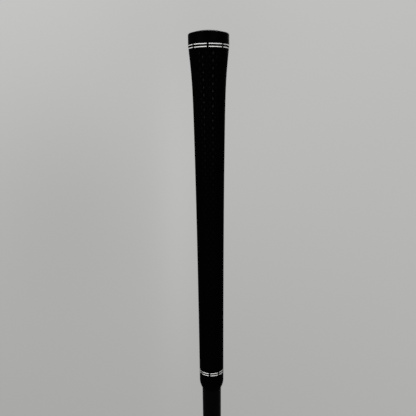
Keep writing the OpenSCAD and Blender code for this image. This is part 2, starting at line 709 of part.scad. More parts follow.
grip_sleeve();
grip_end_cap();
grip_tape();
butt_band_paint();
mouth_band_paint();
shaft();
tip_weight();
tip_stopper();
ferrule();
loft_sleeve();
thread_insert();
head_body();
face_cup();
crown();
mass_pad();
spline_socket();
hosel_bolt();
bolt_washer();
bolt_keeper();
rear_weight();
weight_gasket();
weight_screw();
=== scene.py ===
# %% [markdown]
# # A fairway wood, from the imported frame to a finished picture
#
# The frame is the club as it was packed for simulation: named solids that ride on named bodies.
# Everything below is built round it, in metres, in the same axes: +Z runs up the shaft, the face
# looks along -Y and the toe points to -X. Lengths are written in millimetres, because that is how
# a club is measured, and become metres only where a mesh is made.

# %% Load the frame
from contextlib import contextmanager
from math import cos, pi, radians, sin

import bmesh
import bpy
import numpy as np
from mathutils import Matrix, Vector
from mathutils.bvhtree import BVHTree


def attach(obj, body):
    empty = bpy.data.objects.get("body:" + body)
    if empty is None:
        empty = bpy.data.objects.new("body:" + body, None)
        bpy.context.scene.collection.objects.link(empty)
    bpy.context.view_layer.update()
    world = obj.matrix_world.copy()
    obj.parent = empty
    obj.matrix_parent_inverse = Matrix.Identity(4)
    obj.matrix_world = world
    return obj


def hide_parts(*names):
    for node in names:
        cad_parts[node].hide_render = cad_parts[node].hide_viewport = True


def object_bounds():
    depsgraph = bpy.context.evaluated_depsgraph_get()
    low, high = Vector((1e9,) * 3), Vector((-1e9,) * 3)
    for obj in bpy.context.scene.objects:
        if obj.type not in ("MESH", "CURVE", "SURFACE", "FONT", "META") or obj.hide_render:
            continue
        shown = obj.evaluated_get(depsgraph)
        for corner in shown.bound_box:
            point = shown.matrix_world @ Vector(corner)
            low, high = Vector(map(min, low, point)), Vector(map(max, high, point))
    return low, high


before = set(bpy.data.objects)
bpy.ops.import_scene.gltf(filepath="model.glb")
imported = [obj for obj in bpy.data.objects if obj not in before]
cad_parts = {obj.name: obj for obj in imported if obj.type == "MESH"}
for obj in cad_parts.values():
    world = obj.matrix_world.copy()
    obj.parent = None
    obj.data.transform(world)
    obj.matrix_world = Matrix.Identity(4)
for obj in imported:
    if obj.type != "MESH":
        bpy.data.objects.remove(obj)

MM = 0.001
cad_low, cad_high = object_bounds()

# %% [markdown]
# ## The camera
#
# The club is held upright with its cap at the top, and the camera looks at the grip from close by,
# tipped a little downwards. A short distance matters more than the lens: it makes the cap's rim and
# the bands bow. A target object or a constraint could aim it, but two plain turns are easier to read:
# first the tip, then a small roll about the line of sight.

# %% Camera
GRIP_TOP = 100.0            # height of the cap's top above the origin, mm
CAMERA_AT = (-1.55, -362.3, 45.9)
CAMERA_TIP = 11.05          # degrees below level
CAMERA_ROLL = -0.56
LENS, SENSOR = 43.27, 36


def placed(name, data):
    """An object with its data, in the scene."""
    made = bpy.data.objects.new(name, data)
    bpy.context.scene.collection.objects.link(made)
    return made


camera_data = bpy.data.cameras.new("camera")
camera_data.lens, camera_data.sensor_width = LENS, SENSOR
camera_data.clip_start, camera_data.clip_end = 0.01, 20
camera = placed("camera", camera_data)
camera.matrix_world = (
    Matrix.Translation(Vector(CAMERA_AT) * MM)
    @ Matrix.Rotation(radians(90 - CAMERA_TIP), 4, "X")
    @ Matrix.Rotation(radians(CAMERA_ROLL), 4, "Z")
)
bpy.context.scene.camera = camera
bpy.context.scene.view_settings.view_transform = "Standard"
print("camera", [round(v, 4) for v in camera.location])

# %% [markdown]
# ## Building node trees
#
# Shaders, the world and Geometry Nodes are all trees of nodes. One helper makes a node, sets its
# options and fills its inputs, and makes a link wherever an input is given another node's output.
# That keeps each recipe below about as long as its description. The others only give short names to
# the nodes that come up often.

# %% Node helpers
def add(tree, kind, inputs=(), **options):
    """A new node. inputs maps a socket's name or number to a value or to another node's output."""
    made = tree.nodes.new(kind)
    for name, value in options.items():
        setattr(made, name, value)
    for key, value in dict(inputs).items():
        if isinstance(value, bpy.types.NodeSocket):
            tree.links.new(value, made.inputs[key])
        else:
            made.inputs[key].default_value = value
    return made


def calc(tree, operation, *values):
    """A Math node's result."""
    return add(tree, "ShaderNodeMath", dict(enumerate(values)), operation=operation).outputs[0]


def ramp(tree, value, low, high, out_low=0.0, out_high=1.0):
    """value between low and high, smoothly stretched to the two outputs."""
    inputs = {"Value": value, "From Min": low, "From Max": high, "To Min": out_low, "To Max": out_high}
    return add(tree, "ShaderNodeMapRange", inputs, interpolation_type="SMOOTHSTEP").outputs[0]


def blend(tree, share, first, second, kind="RGBA"):
    """Something between two colours, two numbers or two vectors."""
    pair = {"FLOAT": 2, "VECTOR": 4, "RGBA": 6}[kind]      # each kind has sockets of its own
    made = add(tree, "ShaderNodeMix", {0: share, pair: first, pair + 1: second}, data_type=kind)
    return made.outputs[pair // 2 - 1]


def total(tree, *values):
    """The sum of two or more values."""
    first, *others = values
    for value in others:
        first = calc(tree, "ADD", first, value)
    return first


def square(tree, value):
    return calc(tree, "MULTIPLY", value, value)


def split(tree, vector):
    """The X, Y and Z of a vector."""
    return add(tree, "ShaderNodeSeparateXYZ", {0: vector}).outputs


def join(tree, **axes):
    """A vector from its X, Y and Z."""
    return add(tree, "ShaderNodeCombineXYZ", axes).outputs[0]


def noise(tree, place, scale, detail, **more):
    inputs = {"Vector": place, "Scale": scale, "Detail": detail, **more}
    return add(tree, "ShaderNodeTexNoise", inputs).outputs[0]


def grey(value, tint=(1, 1, 1)):
    return (*(value * t for t in tint), 1)


def new_material(name):
    """An empty material, its node tree and its shader's inputs."""
    made = bpy.data.materials.new(name)
    made.use_nodes = True
    return made, made.node_tree, made.node_tree.nodes["Principled BSDF"].inputs


def drive(tree, inputs, **values):
    """Links or sets a shader's inputs by name."""
    for label, value in values.items():
        socket = inputs[label.replace("_", " ")]
        if isinstance(value, bpy.types.NodeSocket):
            tree.links.new(value, socket)
        else:
            socket.default_value = value


# %% [markdown]
# ## Where it stands
#
# A plain grey room does for the background. It is the world itself, a little brighter at the top
# than at the bottom, and it is there for rays that come from the camera or from a mirror-like or
# clear surface. Every other ray meets an even white sky, so that the background's grey does not
# decide how bright the club is.
#
# No real wall is lit evenly. Three soft patches, each given by its middle, its width and its height
# as parts of a direction, make this one a few per cent darker or lighter.

# %% World
WALL_FROM, WALL_TO = (-0.55, 0.407), (0.2, 0.541)          # (height in the view's direction, tone)
WALL_TILT, TILT_FROM = -0.128, 0.18                        # darker to the right, more so high up
WALL_BLUE = 0.985
SKY_STRENGTH = 0.45
PATCHES = (                 # x, z, width, height, brightness
    (-0.28, -0.16, 0.17, 0.22, -0.04),
    (-0.06, -0.20, 0.045, 0.30, 0.034),
    (-0.03, 0.17, 0.18, 0.16, -0.032),
)


def wall_patch(tree, axes, x, z, width, height, brightness):
    """A patch that fades like a bell round its middle."""
    side = calc(tree, "DIVIDE", calc(tree, "SUBTRACT", axes["X"], x), width)
    up = calc(tree, "DIVIDE", calc(tree, "SUBTRACT", axes["Z"], z), height)
    away = total(tree, square(tree, side), square(tree, up))
    return calc(tree, "MULTIPLY", calc(tree, "EXPONENT", calc(tree, "MULTIPLY", away, -1.0)), brightness)


world = bpy.data.worlds.new("room")
bpy.context.scene.world = world
world.use_nodes = True
tree = world.node_tree
tree.nodes.clear()
axes = split(tree, add(tree, "ShaderNodeTexCoord").outputs["Generated"])
tone = add(tree, "ShaderNodeMapRange", {
    "Value": axes["Z"], "From Min": WALL_FROM[0], "From Max": WALL_TO[0],
    "To Min": WALL_FROM[1], "To Max": WALL_TO[1]}).outputs[0]
tilt = calc(tree, "MULTIPLY", calc(tree, "MULTIPLY", axes["X"], WALL_TILT),
            calc(tree, "ADD", axes["Z"], TILT_FROM))
tone = total(tree, tone, tilt, *(wall_patch(tree, axes, *patch) for patch in PATCHES))
wall = add(tree, "ShaderNodeCombineColor", {0: tone, 1: tone, 2: calc(tree, "MULTIPLY", tone, WALL_BLUE)})
path = add(tree, "ShaderNodeLightPath").outputs
seen = total(tree, *(path[f"Is {kind} Ray"] for kind in ("Camera", "Glossy", "Transmission")))
seen = calc(tree, "MINIMUM", seen, 1.0)
sky = add(tree, "ShaderNodeBackground", {"Color": grey(1.0), "Strength": SKY_STRENGTH})
room = add(tree, "ShaderNodeBackground", {"Color": wall.outputs[0], "Strength": 1.0})
mixed = add(tree, "ShaderNodeMixShader", {0: seen, 1: sky.outputs[0], 2: room.outputs[0]})
add(tree, "ShaderNodeOutputWorld", {"Surface": mixed.outputs[0]})
print("world nodes", len(tree.nodes))

# %% [markdown]
# The floor is a disc whose rim fades out. It lies below the head, because the club is held in the
# hand and not stood up. Three lamps light the club: a key and a fill from the front and a rim lamp
# from behind. They are broad, so that lacquer and steel show soft bands of light and no hard points.

# %% Floor and lamps
FLOOR_RADIUS, FADE_FROM = 0.95, 0.2
FLOOR_DROP = 0.045          # below the lowest point of the head
LAMP_AIM = Vector((0, 0, -0.35))
LAMPS = {                   # name: (place, size in metres, watts)
    "key": ((-1.3, -1.35, 0.32), 0.35, 24),
    "fill": ((0.8, -1.64, 0.3), 0.35, 18),
    "rim": ((0.5, 1.5, 0.7), 1.0, 16),
}


@contextmanager
def editing(piece):
    """Opens a piece's mesh for changes, and writes them back."""
    bm = bmesh.new()
    bm.from_mesh(piece.data)
    yield bm
    bm.to_mesh(piece.data)
    bm.free()


def floor_finish():
    """Pale paint that fades to nothing at the rim and is clear from below."""
    made, tree, shader = new_material("floor_paint")
    place = add(tree, "ShaderNodeTexCoord").outputs["Object"]
    flat = add(tree, "ShaderNodeVectorMath", {0: place, 1: (1, 1, 0)}, operation="MULTIPLY").outputs[0]
    away = add(tree, "ShaderNodeVectorMath", {0: flat}, operation="LENGTH").outputs["Value"]
    speck = ramp(tree, noise(tree, place, 25.0, 8.0), 0.3, 0.7)
    front = calc(tree, "SUBTRACT", 1.0, add(tree, "ShaderNodeNewGeometry").outputs["Backfacing"])
    fade = ramp(tree, away, FADE_FROM, FLOOR_RADIUS, 1.0, 0.0)
    drive(tree, shader, Base_Color=blend(tree, speck, grey(0.43), grey(0.45)),
          Alpha=calc(tree, "MULTIPLY", fade, front), Roughness=0.85)
    return made


floor = placed("floor", bpy.data.meshes.new("floor"))
with editing(floor) as bm:
    bmesh.ops.create_circle(bm, cap_ends=True, cap_tris=False, segments=96, radius=FLOOR_RADIUS)
    bmesh.ops.translate(bm, verts=bm.verts, vec=(0, 0, cad_low.z - FLOOR_DROP))
floor.data.materials.append(floor_finish())

for name, (place, size, watts) in LAMPS.items():
    lamp = bpy.data.lights.new(name, "AREA")
    lamp.size, lamp.energy = size, watts
    made = placed(name, lamp)
    made.location = place
    made.rotation_euler = (LAMP_AIM - made.location).to_track_quat("-Z", "Y").to_euler()
print("lamps", sorted(LAMPS))

# %% [markdown]
# ## Effects that many finishes share
#
# Rubber, paint, plastic and steel differ in colour, but the same few things happen to all of them:
# a fine grain from the mould or the blast, fine lines from the lathe or the brush, a film of dust
# and finger marks, and edges that are rubbed bright, which on the grip's marks is a painted highlight.
# Each is a node group with named inputs, built once. A group gives out only a height, a mask or a
# normal, and the material decides what to do with it, so the same grain can be deep in rubber and
# shallow in lacquer.

# %% Group helper
def group(name, inputs, outputs):
    """An empty shader group with named float inputs, and a list of named outputs."""
    made = bpy.data.node_groups.new(name, "ShaderNodeTree")
    for label, value in inputs.items():
        socket = made.interface.new_socket(label, in_out="INPUT", socket_type="NodeSocketFloat")
        socket.default_value = value
    for label in outputs:
        made.interface.new_socket(label, in_out="OUTPUT", socket_type="NodeSocketFloat")
    return made, add(made, "NodeGroupInput").outputs, add(made, "NodeGroupOutput").inputs


def scaled(tree, stretch, scale):
    """Object coordinates in millimetres times a scale, stretched along the axes."""
    place = add(tree, "ShaderNodeTexCoord").outputs["Object"]
    place = add(tree, "ShaderNodeVectorMath", {0: place, 1: stretch}, operation="MULTIPLY").outputs[0]
    return add(tree, "ShaderNodeVectorMath", {0: place, "Scale": scale}, operation="SCALE").outputs[0]


# %% [markdown]
# Grain: two noises, one at the size of a blasted pit or a moulded pore and one some ten times
# larger, which is the cloudiness of any real surface.

# %% Grain group
def grain_group():
    made, given, out = group("fine_grain", {"Grains per mm": 3.0}, ["Height", "Cloud"])
    place = scaled(made, (1, 1, 1), calc(made, "MULTIPLY", given["Grains per mm"], 1000.0))
    drive(made, out, Height=noise(made, place, 1.0, 3.0),
          Cloud=ramp(made, noise(made, place, 0.06, 4.0), 0.35, 0.65))
    return made


GRAIN = grain_group()

# %% [markdown]
# Tool lines: on a turned piece they run round it, so the noise is squeezed along Z and long in X
# and Y. On a brushed one they run one way. Both are the same stretched noise.

# %% Tool line group
def line_group():
    labels = {"Lines per mm": 5.0, "Along X": 0.02, "Along Y": 0.02, "Along Z": 1.0}
    made, given, out = group("tool_lines", labels, ["Height", "Streak"])
    stretch = join(made, **{axis: given[f"Along {axis}"] for axis in "XYZ"})
    place = scaled(made, stretch, calc(made, "MULTIPLY", given["Lines per mm"], 1000.0))
    drive(made, out, Height=noise(made, place, 1.0, 4.0),
          Streak=ramp(made, noise(made, place, 0.2, 2.0), 0.3, 0.7))
    return made


LINES = line_group()

# %% [markdown]
# Handling: soft blotches a centimetre or so across, where fingers and a cloth have been. They hardly
# change the colour, but they break up the gloss.

# %% Handling group
def handling_group():
    made, given, out = group("handling", {"Size mm": 14.0, "Amount": 1.0}, ["Smear"])
    place = scaled(made, (1, 1, 0.6), calc(made, "DIVIDE", 1000.0, given["Size mm"]))
    blotch = ramp(made, noise(made, place, 1.0, 5.0, Distortion=0.6), 0.42, 0.7)
    drive(made, out, Smear=calc(made, "MULTIPLY", blotch, given["Amount"]))
    return made


HANDLING = handling_group()

# %% [markdown]
# Rubbed edges and sheen: the renderer can tell how convex a surface is where vertices are close
# together. Multiplied by a noise, that becomes the broken bright line that handling leaves along an
# edge. On the grip's marks the same bright line is a painted highlight on their rims.

# %% Edge wear and painted sheen group
def edge_group():
    made, given, out = group("rubbed_edges_and_sheen", {"Start": 0.53, "Full": 0.6, "Patches per mm": 0.9}, ["Mask"])
    convex = add(made, "ShaderNodeNewGeometry").outputs["Pointiness"]
    place = scaled(made, (1, 1, 1), calc(made, "MULTIPLY", given["Patches per mm"], 1000.0))
    edge = ramp(made, convex, given["Start"], given["Full"])
    worn = ramp(made, noise(made, place, 1.0, 3.0), 0.35, 0.6)
    drive(made, out, Mask=calc(made, "MULTIPLY", edge, worn))
    return made


EDGES = edge_group()
print("shader groups", [g.name for g in (GRAIN, LINES, HANDLING, EDGES)])

# %% [markdown]
# ## Finishes
#
# Most finishes of a club are one recipe with other numbers: a colour that is slightly cloudy, a
# roughness that varies with handling, a bump from the grain or the tool lines, and rubbed edges, whose
# lighter colour is wear on most finishes and a painted highlight on the grip's marks. The recipe below
# takes those numbers. What is the same all over a surface, such as the specular level or the coat, is
# set straight on the shader.

# %% The common recipe
STREAK_ROUGH, WEAR_GLOSS = 0.06, 0.12     # how far streaks roughen and wear smooths a surface


def use(tree, kind, **values):
    """One of the shared groups in a material, with its inputs set by name."""
    made = add(tree, "ShaderNodeGroup", node_tree=kind)
    drive(tree, made.inputs, **values)
    return made.outputs


def bumped(tree, height, depth, under=None):
    """A normal from a height that is depth mm deep, on top of another normal if there is one."""
    inputs = {"Height": height, "Distance": depth * MM, "Strength": 1.0}
    return add(tree, "ShaderNodeBump", {**inputs, "Normal": under} if under else inputs).outputs[0]


def finish(name, dark, light, rough, metal=0.0, grain=0.0, per_mm=3.0, lines=0.0, lines_per_mm=5.0,
           along=(0.02, 0.02, 1.0), smear=0.05, wear=None, worn=0.5, edge=(0.53, 0.6), **fixed):
    """A material between two colours. grain and lines are bump heights in mm, the edge colour goes on
    rubbed edges, as wear on most finishes and as a painted highlight on the grip's marks, edge is how
    convex they are, and fixed holds the shader's own constants."""
    made, tree, shader = new_material(name)
    pores = use(tree, GRAIN, Grains_per_mm=per_mm)
    colour = blend(tree, pores["Cloud"], dark, light)
    roughness = calc(tree, "MULTIPLY_ADD", use(tree, HANDLING)["Smear"], smear, rough)
    if grain:
        fixed["Normal"] = bumped(tree, pores["Height"], grain)
    if lines:
        marks = use(tree, LINES, Lines_per_mm=lines_per_mm,
                    **{f"Along_{axis}": share for axis, share in zip("XYZ", along)})
        fixed["Normal"] = bumped(tree, marks["Height"], lines, fixed.get("Normal"))
        roughness = calc(tree, "MULTIPLY_ADD", marks["Streak"], STREAK_ROUGH, roughness)
    # The edge colour is wear on most finishes and a painted highlight on the rims of the grip's marks.
    if wear:
        mask = calc(tree, "MULTIPLY", use(tree, EDGES, Start=edge[0], Full=edge[1])["Mask"], worn)
        colour = blend(tree, mask, colour, wear)
        roughness = calc(tree, "SUBTRACT", roughness, calc(tree, "MULTIPLY", mask, WEAR_GLOSS))
    drive(tree, shader, Base_Color=colour, Roughness=roughness, Metallic=metal, **fixed)
    return made


# %% [markdown]
# The grip is a soft black compound, nearly without gloss, with the satin of the mould on it. Hands
# polish the rims of its marks, so they are a little less rough, and their colour is lifted as a painted
# highlight that stands in for the sheen of light on the rims. The pins of the mould leave the floors of
# the marks smoother than the rubber round them, so a point attribute that is 1 on a floor lowers the
# roughness there and adds a thin coat. The cap is the same compound out of a smoother mould. The dashes
# are a thick matt paint that fills the grooves.

# %% Grip finishes
FLOOR_GLOSS, FLOOR_COAT = -0.3, 0.052
# The lighter edge colour of the grip rubber is a painted highlight on the rims of its marks.
GRIP_RUBBER = finish("grip_rubber", grey(0.0002, (1, 1.05, 1.3)), grey(0.0003, (1, 1.05, 1.3)), 0.6,
                     grain=0.03, per_mm=5, wear=grey(0.001, (1, 1.05, 1.3)), worn=0.8,
                     Specular_IOR_Level=0.003, Coat_Roughness=0.3)
tree = GRIP_RUBBER.node_tree
shader = tree.nodes["Principled BSDF"].inputs
mark_floor = add(tree, "ShaderNodeAttribute", attribute_name="mark").outputs["Fac"]
satin = shader["Roughness"].links[0].from_socket
drive(tree, shader, Roughness=calc(tree, "MULTIPLY_ADD", mark_floor, FLOOR_GLOSS, satin),
      Coat_Weight=calc(tree, "MULTIPLY", mark_floor, FLOOR_COAT))
CAP_RUBBER = finish("cap_rubber", grey(0.0002, (1, 1.03, 1.1)), grey(0.0003, (1, 1.03, 1.1)), 0.5,
                    grain=0.015, per_mm=6, Specular_IOR_Level=0.005)
BAND_PAINT = finish("band_paint", grey(0.6, (1, 1, 0.98)), grey(0.65, (1, 1, 0.98)), 0.55,
                    grain=0.02, per_mm=4, Specular_IOR_Level=0.3)
GRIP_TAPE = finish("grip_tape", grey(0.55, (1, 0.95, 0.8)), grey(0.66, (1, 0.95, 0.8)), 0.7,
                   lines=0.03, lines_per_mm=2, along=(1, 1, 0.1))

# %% [markdown]
# The shaft is wound composite, ground, painted black and lacquered, so it is smooth and glossy. The
# ferrule is a turned plastic ring that is buffed until it shines. The sleeve is aluminium, turned and
# anodised black, and its fine lathe lines stay visible under the dye. A small turned piece is convex
# all over, so only its true edges may count as edges.

# %% Shaft finishes
SMALL_EDGE = (0.6, 0.72)
SHAFT_BLACK = finish("shaft_black", grey(0.0004), grey(0.0007), 0.3, grain=0.004, per_mm=0.8,
                     lines=0.003, lines_per_mm=1.5, smear=0.12, Specular_IOR_Level=0.01)
FERRULE_PLASTIC = finish("ferrule_plastic", grey(0.003), grey(0.004), 0.14, lines=0.003, smear=0.1,
                         Specular_IOR_Level=0.14)
SLEEVE_BLACK = finish("sleeve_black", grey(0.024, (1, 1, 1.06)), grey(0.028, (1, 1, 1.06)), 0.36,
                      metal=0.85, lines=0.005, lines_per_mm=7, smear=0.03, wear=grey(0.3), worn=0.4,
                      edge=SMALL_EDGE)

# %% [markdown]
# Fasteners are turned steel with a thin bright plating. The insert and the socket are plain steel,
# the tip weight is brass and its stopper cork. The gasket and the keeper are small soft parts.

# %% Small part finishes
FASTENER_STEEL = finish("fastener_steel", grey(0.49), grey(0.51), 0.28, metal=1.0, lines=0.003,
                        lines_per_mm=8, wear=grey(0.75), worn=0.6, edge=SMALL_EDGE)
WEIGHT_STEEL = finish("weight_steel", grey(0.33), grey(0.35), 0.34, metal=1.0, lines=0.004,
                      lines_per_mm=6, wear=grey(0.65), worn=0.6, edge=SMALL_EDGE)
INSERT_STEEL = finish("insert_steel", grey(0.5), grey(0.56), 0.3, metal=1.0, lines=0.01)
SOCKET_STEEL = finish("socket_steel", grey(0.4), grey(0.47), 0.38, metal=1.0, grain=0.01, per_mm=5)
TIP_BRASS = finish("tip_brass", (0.6, 0.42, 0.16, 1), (0.7, 0.5, 0.2, 1), 0.3, metal=1.0, lines=0.01)
STOPPER_CORK = finish("stopper_cork", (0.42, 0.27, 0.14, 1), (0.62, 0.44, 0.26, 1), 0.8,
                      grain=0.2, per_mm=1.5)
GASKET_RUBBER = finish("gasket_rubber", grey(0.01), grey(0.016), 0.7, grain=0.02, per_mm=4)
KEEPER_PLASTIC = finish("keeper_plastic", grey(0.012), grey(0.02), 0.45, grain=0.01, per_mm=4)
print("finishes so far", len(bpy.data.materials))

# %% [markdown]
# ## Making and handing over pieces
#
# A piece is plain mesh with its place in its points, on an object that sits at the origin. Flat
# faces and round ones meet at edges that stay sharp, and everything gentler is shaded smooth. The
# last helper also does what the frame needs: it names the body that carries the piece and the solids
# that the piece stands for.

# %% Piece helpers
def mesh_object(name, points, faces, place=Matrix.Identity(4)):
    """An object from points in millimetres, put in its place by a matrix in metres."""
    mesh = bpy.data.meshes.new(name)
    mesh.from_pydata((np.asarray(points, float) * MM).tolist(), [], [list(f) for f in faces])
    mesh.transform(place)
    return placed(name, mesh)


def applied(piece):
    """Turns a piece with modifiers into its plain result."""
    graph = bpy.context.evaluated_depsgraph_get()
    result = bpy.data.meshes.new_from_object(piece.evaluated_get(graph))
    old = piece.data
    piece.modifiers.clear()
    piece.data = result
    bpy.data.meshes.remove(old)
    return piece


def outward(piece):
    """Merges doubled points and turns every face of a closed mesh outwards."""
    with editing(piece) as bm:
        bmesh.ops.remove_doubles(bm, verts=bm.verts, dist=1e-6)
        bmesh.ops.recalc_face_normals(bm, faces=bm.faces)
    return piece


def round_quads(rows, sides):
    """The faces between rows of points, where each row goes round and the rows follow each other."""
    return [(a + b, a + (b + 1) % sides, a + sides + (b + 1) % sides, a + sides + b)
            for a in range(0, (rows - 1) * sides, sides) for b in range(sides)]


def fan(middle, start, sides):
    """Triangles from a middle point to a row that begins at start."""
    return [(middle, start + (b + 1) % sides, start + b) for b in range(sides)]


def combine(piece, operation, *others):
    """A boolean of closed meshes. The others are used up."""
    for other in others:
        step = piece.modifiers.new(operation, "BOOLEAN")
        step.operation, step.solver, step.object = operation, "MANIFOLD", other
        applied(piece)
        bpy.data.objects.remove(other)
    return piece


def hand_over(piece, body, slot, material, *stands_for, sharp=35):
    """Shades a piece, finishes it, and tells the frame what it is."""
    mesh = piece.data
    mesh.materials.clear()
    mesh.materials.append(material)
    mesh.polygons.foreach_set("use_smooth", [True] * len(mesh.polygons))
    mesh.set_sharp_from_angle(angle=radians(sharp))
    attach(piece, body)
    if stands_for:
        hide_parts(*stands_for)
    mesh.calc_loop_triangles()
    loose = bmesh.new()
    loose.from_mesh(mesh)
    open_edges = sum(not e.is_manifold for e in loose.edges)
    loose.free()
    print(f"{piece.name}: {len(mesh.loop_triangles)} triangles, {open_edges} open edges")
    return piece


# %% [markdown]
# ## The grip's marks
#
# Small crosses are moulded all the way round the grip, each column half a step out from the next, so
# the hand finds no line that slips. A bump map would fake them, but their rims catch the light and
# break the outline, so they are cut into the mesh. One tile holds one cross, sunk into flat rubber.
# Its grid lines repeat every half tile, so that rows which are shifted by half a tile still meet
# point to point.

# %% One tile of the grip
MARKS_ROUND = 17            # tiles in a row; two columns of marks each
MARK_ROWS = 94
ROW_PITCH = 2.5             # all lengths in mm
FIRST_TURN = -2.8           # degrees
FIRST_ROW = 15.0            # depth of the first row below the cap's top
MARK_DEPTH = 0.34
STEM_HALF = 0.06            # half the width of the upright stroke, as a share of the tile
ARM_HALF = 0.14             # half the length of the cross stroke, as a share of the tile
STROKE = 0.64               # height of the cross stroke
MARK_HEIGHT = 2.34
DRAFT = 0.85                # how much smaller a mark's floor is than its rim


def mark_tile():
    """x is an angle, y a depth and z a height, so that the tile can be wrapped later."""
    wide = 2 * pi / MARKS_ROUND
    across = np.array([-STEM_HALF, STEM_HALF, ARM_HALF, 0.5 - ARM_HALF, 0.5 - STEM_HALF,
                       0.5 + STEM_HALF, 0.5 + ARM_HALF, 1 - ARM_HALF, 1 - STEM_HALF]) * wide
    middle = ROW_PITCH / 2
    down = np.array([0, middle - MARK_HEIGHT / 2, middle - STROKE / 2, middle + STROKE / 2,
                     middle + MARK_HEIGHT / 2, ROW_PITCH])
    cross = {(4, 2), (3, 2), (5, 2), (4, 1), (4, 3)}
    points, index, faces = [], {}, []

    def at(i, j, level):
        if (i, j, level) not in index:
            x, y = across[i], down[j]
            if level:
                x, y = wide / 2 + (x - wide / 2) * DRAFT, middle + (y - middle) * DRAFT
            index[i, j, level] = len(points)
            points.append((x / MM, y, -MARK_DEPTH * level))
        return index[i, j, level]

    for i in range(len(across) - 1):
        for j in range(len(down) - 1):
            low = (i, j) in cross
            around = [(i, j), (i + 1, j), (i + 1, j + 1), (i, j + 1)]
            faces.append([at(*corner, low) for corner in around])
            if low:
                beside = [(i, j - 1), (i + 1, j), (i, j + 1), (i - 1, j)]
                for p, q, other in zip(around, around[1:] + around[:1], beside):
                    if other not in cross:
                        faces.append([at(*p, 0), at(*q, 0), at(*q, 1), at(*p, 1)])
    made = mesh_object("grip", points, faces)
    floors = made.data.attributes.new("mark", "FLOAT", "POINT")
    floors.data.foreach_set("value", [float(z < 0) for x, y, z in points])
    return made


tile = mark_tile()
print("tile:", len(tile.data.polygons), "faces")

# %% [markdown]
# Geometry Nodes lay the tiles out and wrap them. The grip's outline is one formula, a long taper
# plus a short flare that both die away with depth, so the wrap is three lines of arithmetic: the
# angle and the depth of each point stay, and its height becomes a distance from the formula's
# radius. Doing this by node tree rather than by modifiers such as Array and Simple Deform keeps the
# seam exact, and every size stays a named input.

# %% The wrap
GRIP_SLIM, GRIP_TAPER, GRIP_TAPER_FADE = 17.7, 7.9, 120.0
GRIP_FLARE, GRIP_FLARE_FADE = 4.2, 25.0
GRIP_LENGTH = 269.0
SEAM = 2e-6                 # how close doubled points are merged, in metres


def named_inputs(tree, sizes):
    """Adds named inputs to a Geometry Nodes tree and gives back their identifiers."""
    kinds = {int: "NodeSocketInt", float: "NodeSocketFloat", bpy.types.Material: "NodeSocketMaterial"}
    found = {}
    for label, value in sizes.items():
        kind = next(k for t, k in kinds.items() if isinstance(value, t))
        found[label] = tree.interface.new_socket(label, in_out="INPUT", socket_type=kind).identifier
    return found


def node_tool(piece, name, build, sizes):
    """Runs a Geometry Nodes tree on a piece: build(tree, given) returns the finished geometry."""
    tree = bpy.data.node_groups.new(name, "GeometryNodeTree")
    tree.interface.new_socket("Geometry", in_out="INPUT", socket_type="NodeSocketGeometry")
    tree.interface.new_socket("Geometry", in_out="OUTPUT", socket_type="NodeSocketGeometry")
    keys = named_inputs(tree, sizes)
    given = add(tree, "NodeGroupInput").outputs
    shape = build(tree, given)
    shape = add(tree, "GeometryNodeRealizeInstances", {0: shape}).outputs[0]
    shape = add(tree, "GeometryNodeSetMaterial", {"Geometry": shape, "Material": given["Material"]})
    add(tree, "NodeGroupOutput", {0: shape.outputs[0]})
    step = piece.modifiers.new(name, "NODES")
    step.node_group = tree
    for label, value in sizes.items():
        step[keys[label]] = value
    return applied(piece)


def copies(tree, shape, count, place):
    """A number of copies of a shape as one mesh, each at a place worked out from its index."""
    spots = add(tree, "GeometryNodePoints", {"Count": count, "Position": place}).outputs[0]
    set_out = add(tree, "GeometryNodeInstanceOnPoints", {"Points": spots, "Instance": shape}).outputs[0]
    return add(tree, "GeometryNodeRealizeInstances", {0: set_out}).outputs[0]


def tile_field(tree, given):
    """Rows of tiles, every second one shifted half a tile, wrapped round the grip's outline."""
    count = calc(tree, "MULTIPLY", given["Tiles round"], given["Rows"])
    index = add(tree, "GeometryNodeInputIndex").outputs[0]
    row = calc(tree, "FLOOR", calc(tree, "DIVIDE", index, given["Tiles round"]))
    column = calc(tree, "SUBTRACT", index, calc(tree, "MULTIPLY", row, given["Tiles round"]))
    shift = calc(tree, "MULTIPLY", calc(tree, "MODULO", row, 2.0), 0.5)
    step = calc(tree, "DIVIDE", 2 * pi, given["Tiles round"])
    turn = calc(tree, "MULTIPLY_ADD", calc(tree, "ADD", column, shift), step, given["First turn"])
    depth = calc(tree, "MULTIPLY_ADD", row, given["Row pitch"], given["First row"])
    flat = copies(tree, given["Geometry"], count, join(tree, X=turn, Y=depth))

    spot = split(tree, add(tree, "GeometryNodeInputPosition").outputs[0])
    fade = calc(tree, "MULTIPLY", given["Taper fade"], -1.0)
    taper = calc(tree, "EXPONENT", calc(tree, "DIVIDE", spot["Y"], fade))
    flare = calc(tree, "POWER", calc(tree, "DIVIDE", spot["Y"], given["Flare fade"]), 2.0)
    flare = calc(tree, "EXPONENT", calc(tree, "MULTIPLY", flare, -1.0))
    across = calc(tree, "MULTIPLY_ADD", taper, given["Taper"], given["Slim"])
    across = calc(tree, "MULTIPLY_ADD", flare, given["Flare"], across)
    radius = calc(tree, "MULTIPLY_ADD", across, 0.5, spot["Z"])
    x = calc(tree, "MULTIPLY", radius, calc(tree, "COSINE", spot["X"]))
    y = calc(tree, "MULTIPLY", radius, calc(tree, "SINE", spot["X"]))
    z = calc(tree, "SUBTRACT", given["Top"], spot["Y"])
    wrapped = join(tree, X=x, Y=y, Z=z)
    moved = add(tree, "GeometryNodeSetPosition", {"Geometry": flat, "Position": wrapped}).outputs[0]
    joined = add(tree, "GeometryNodeMergeByDistance", {"Geometry": moved, "Distance": SEAM}).outputs[0]
    return add(tree, "GeometryNodeFlipFaces", {0: joined}).outputs[0]


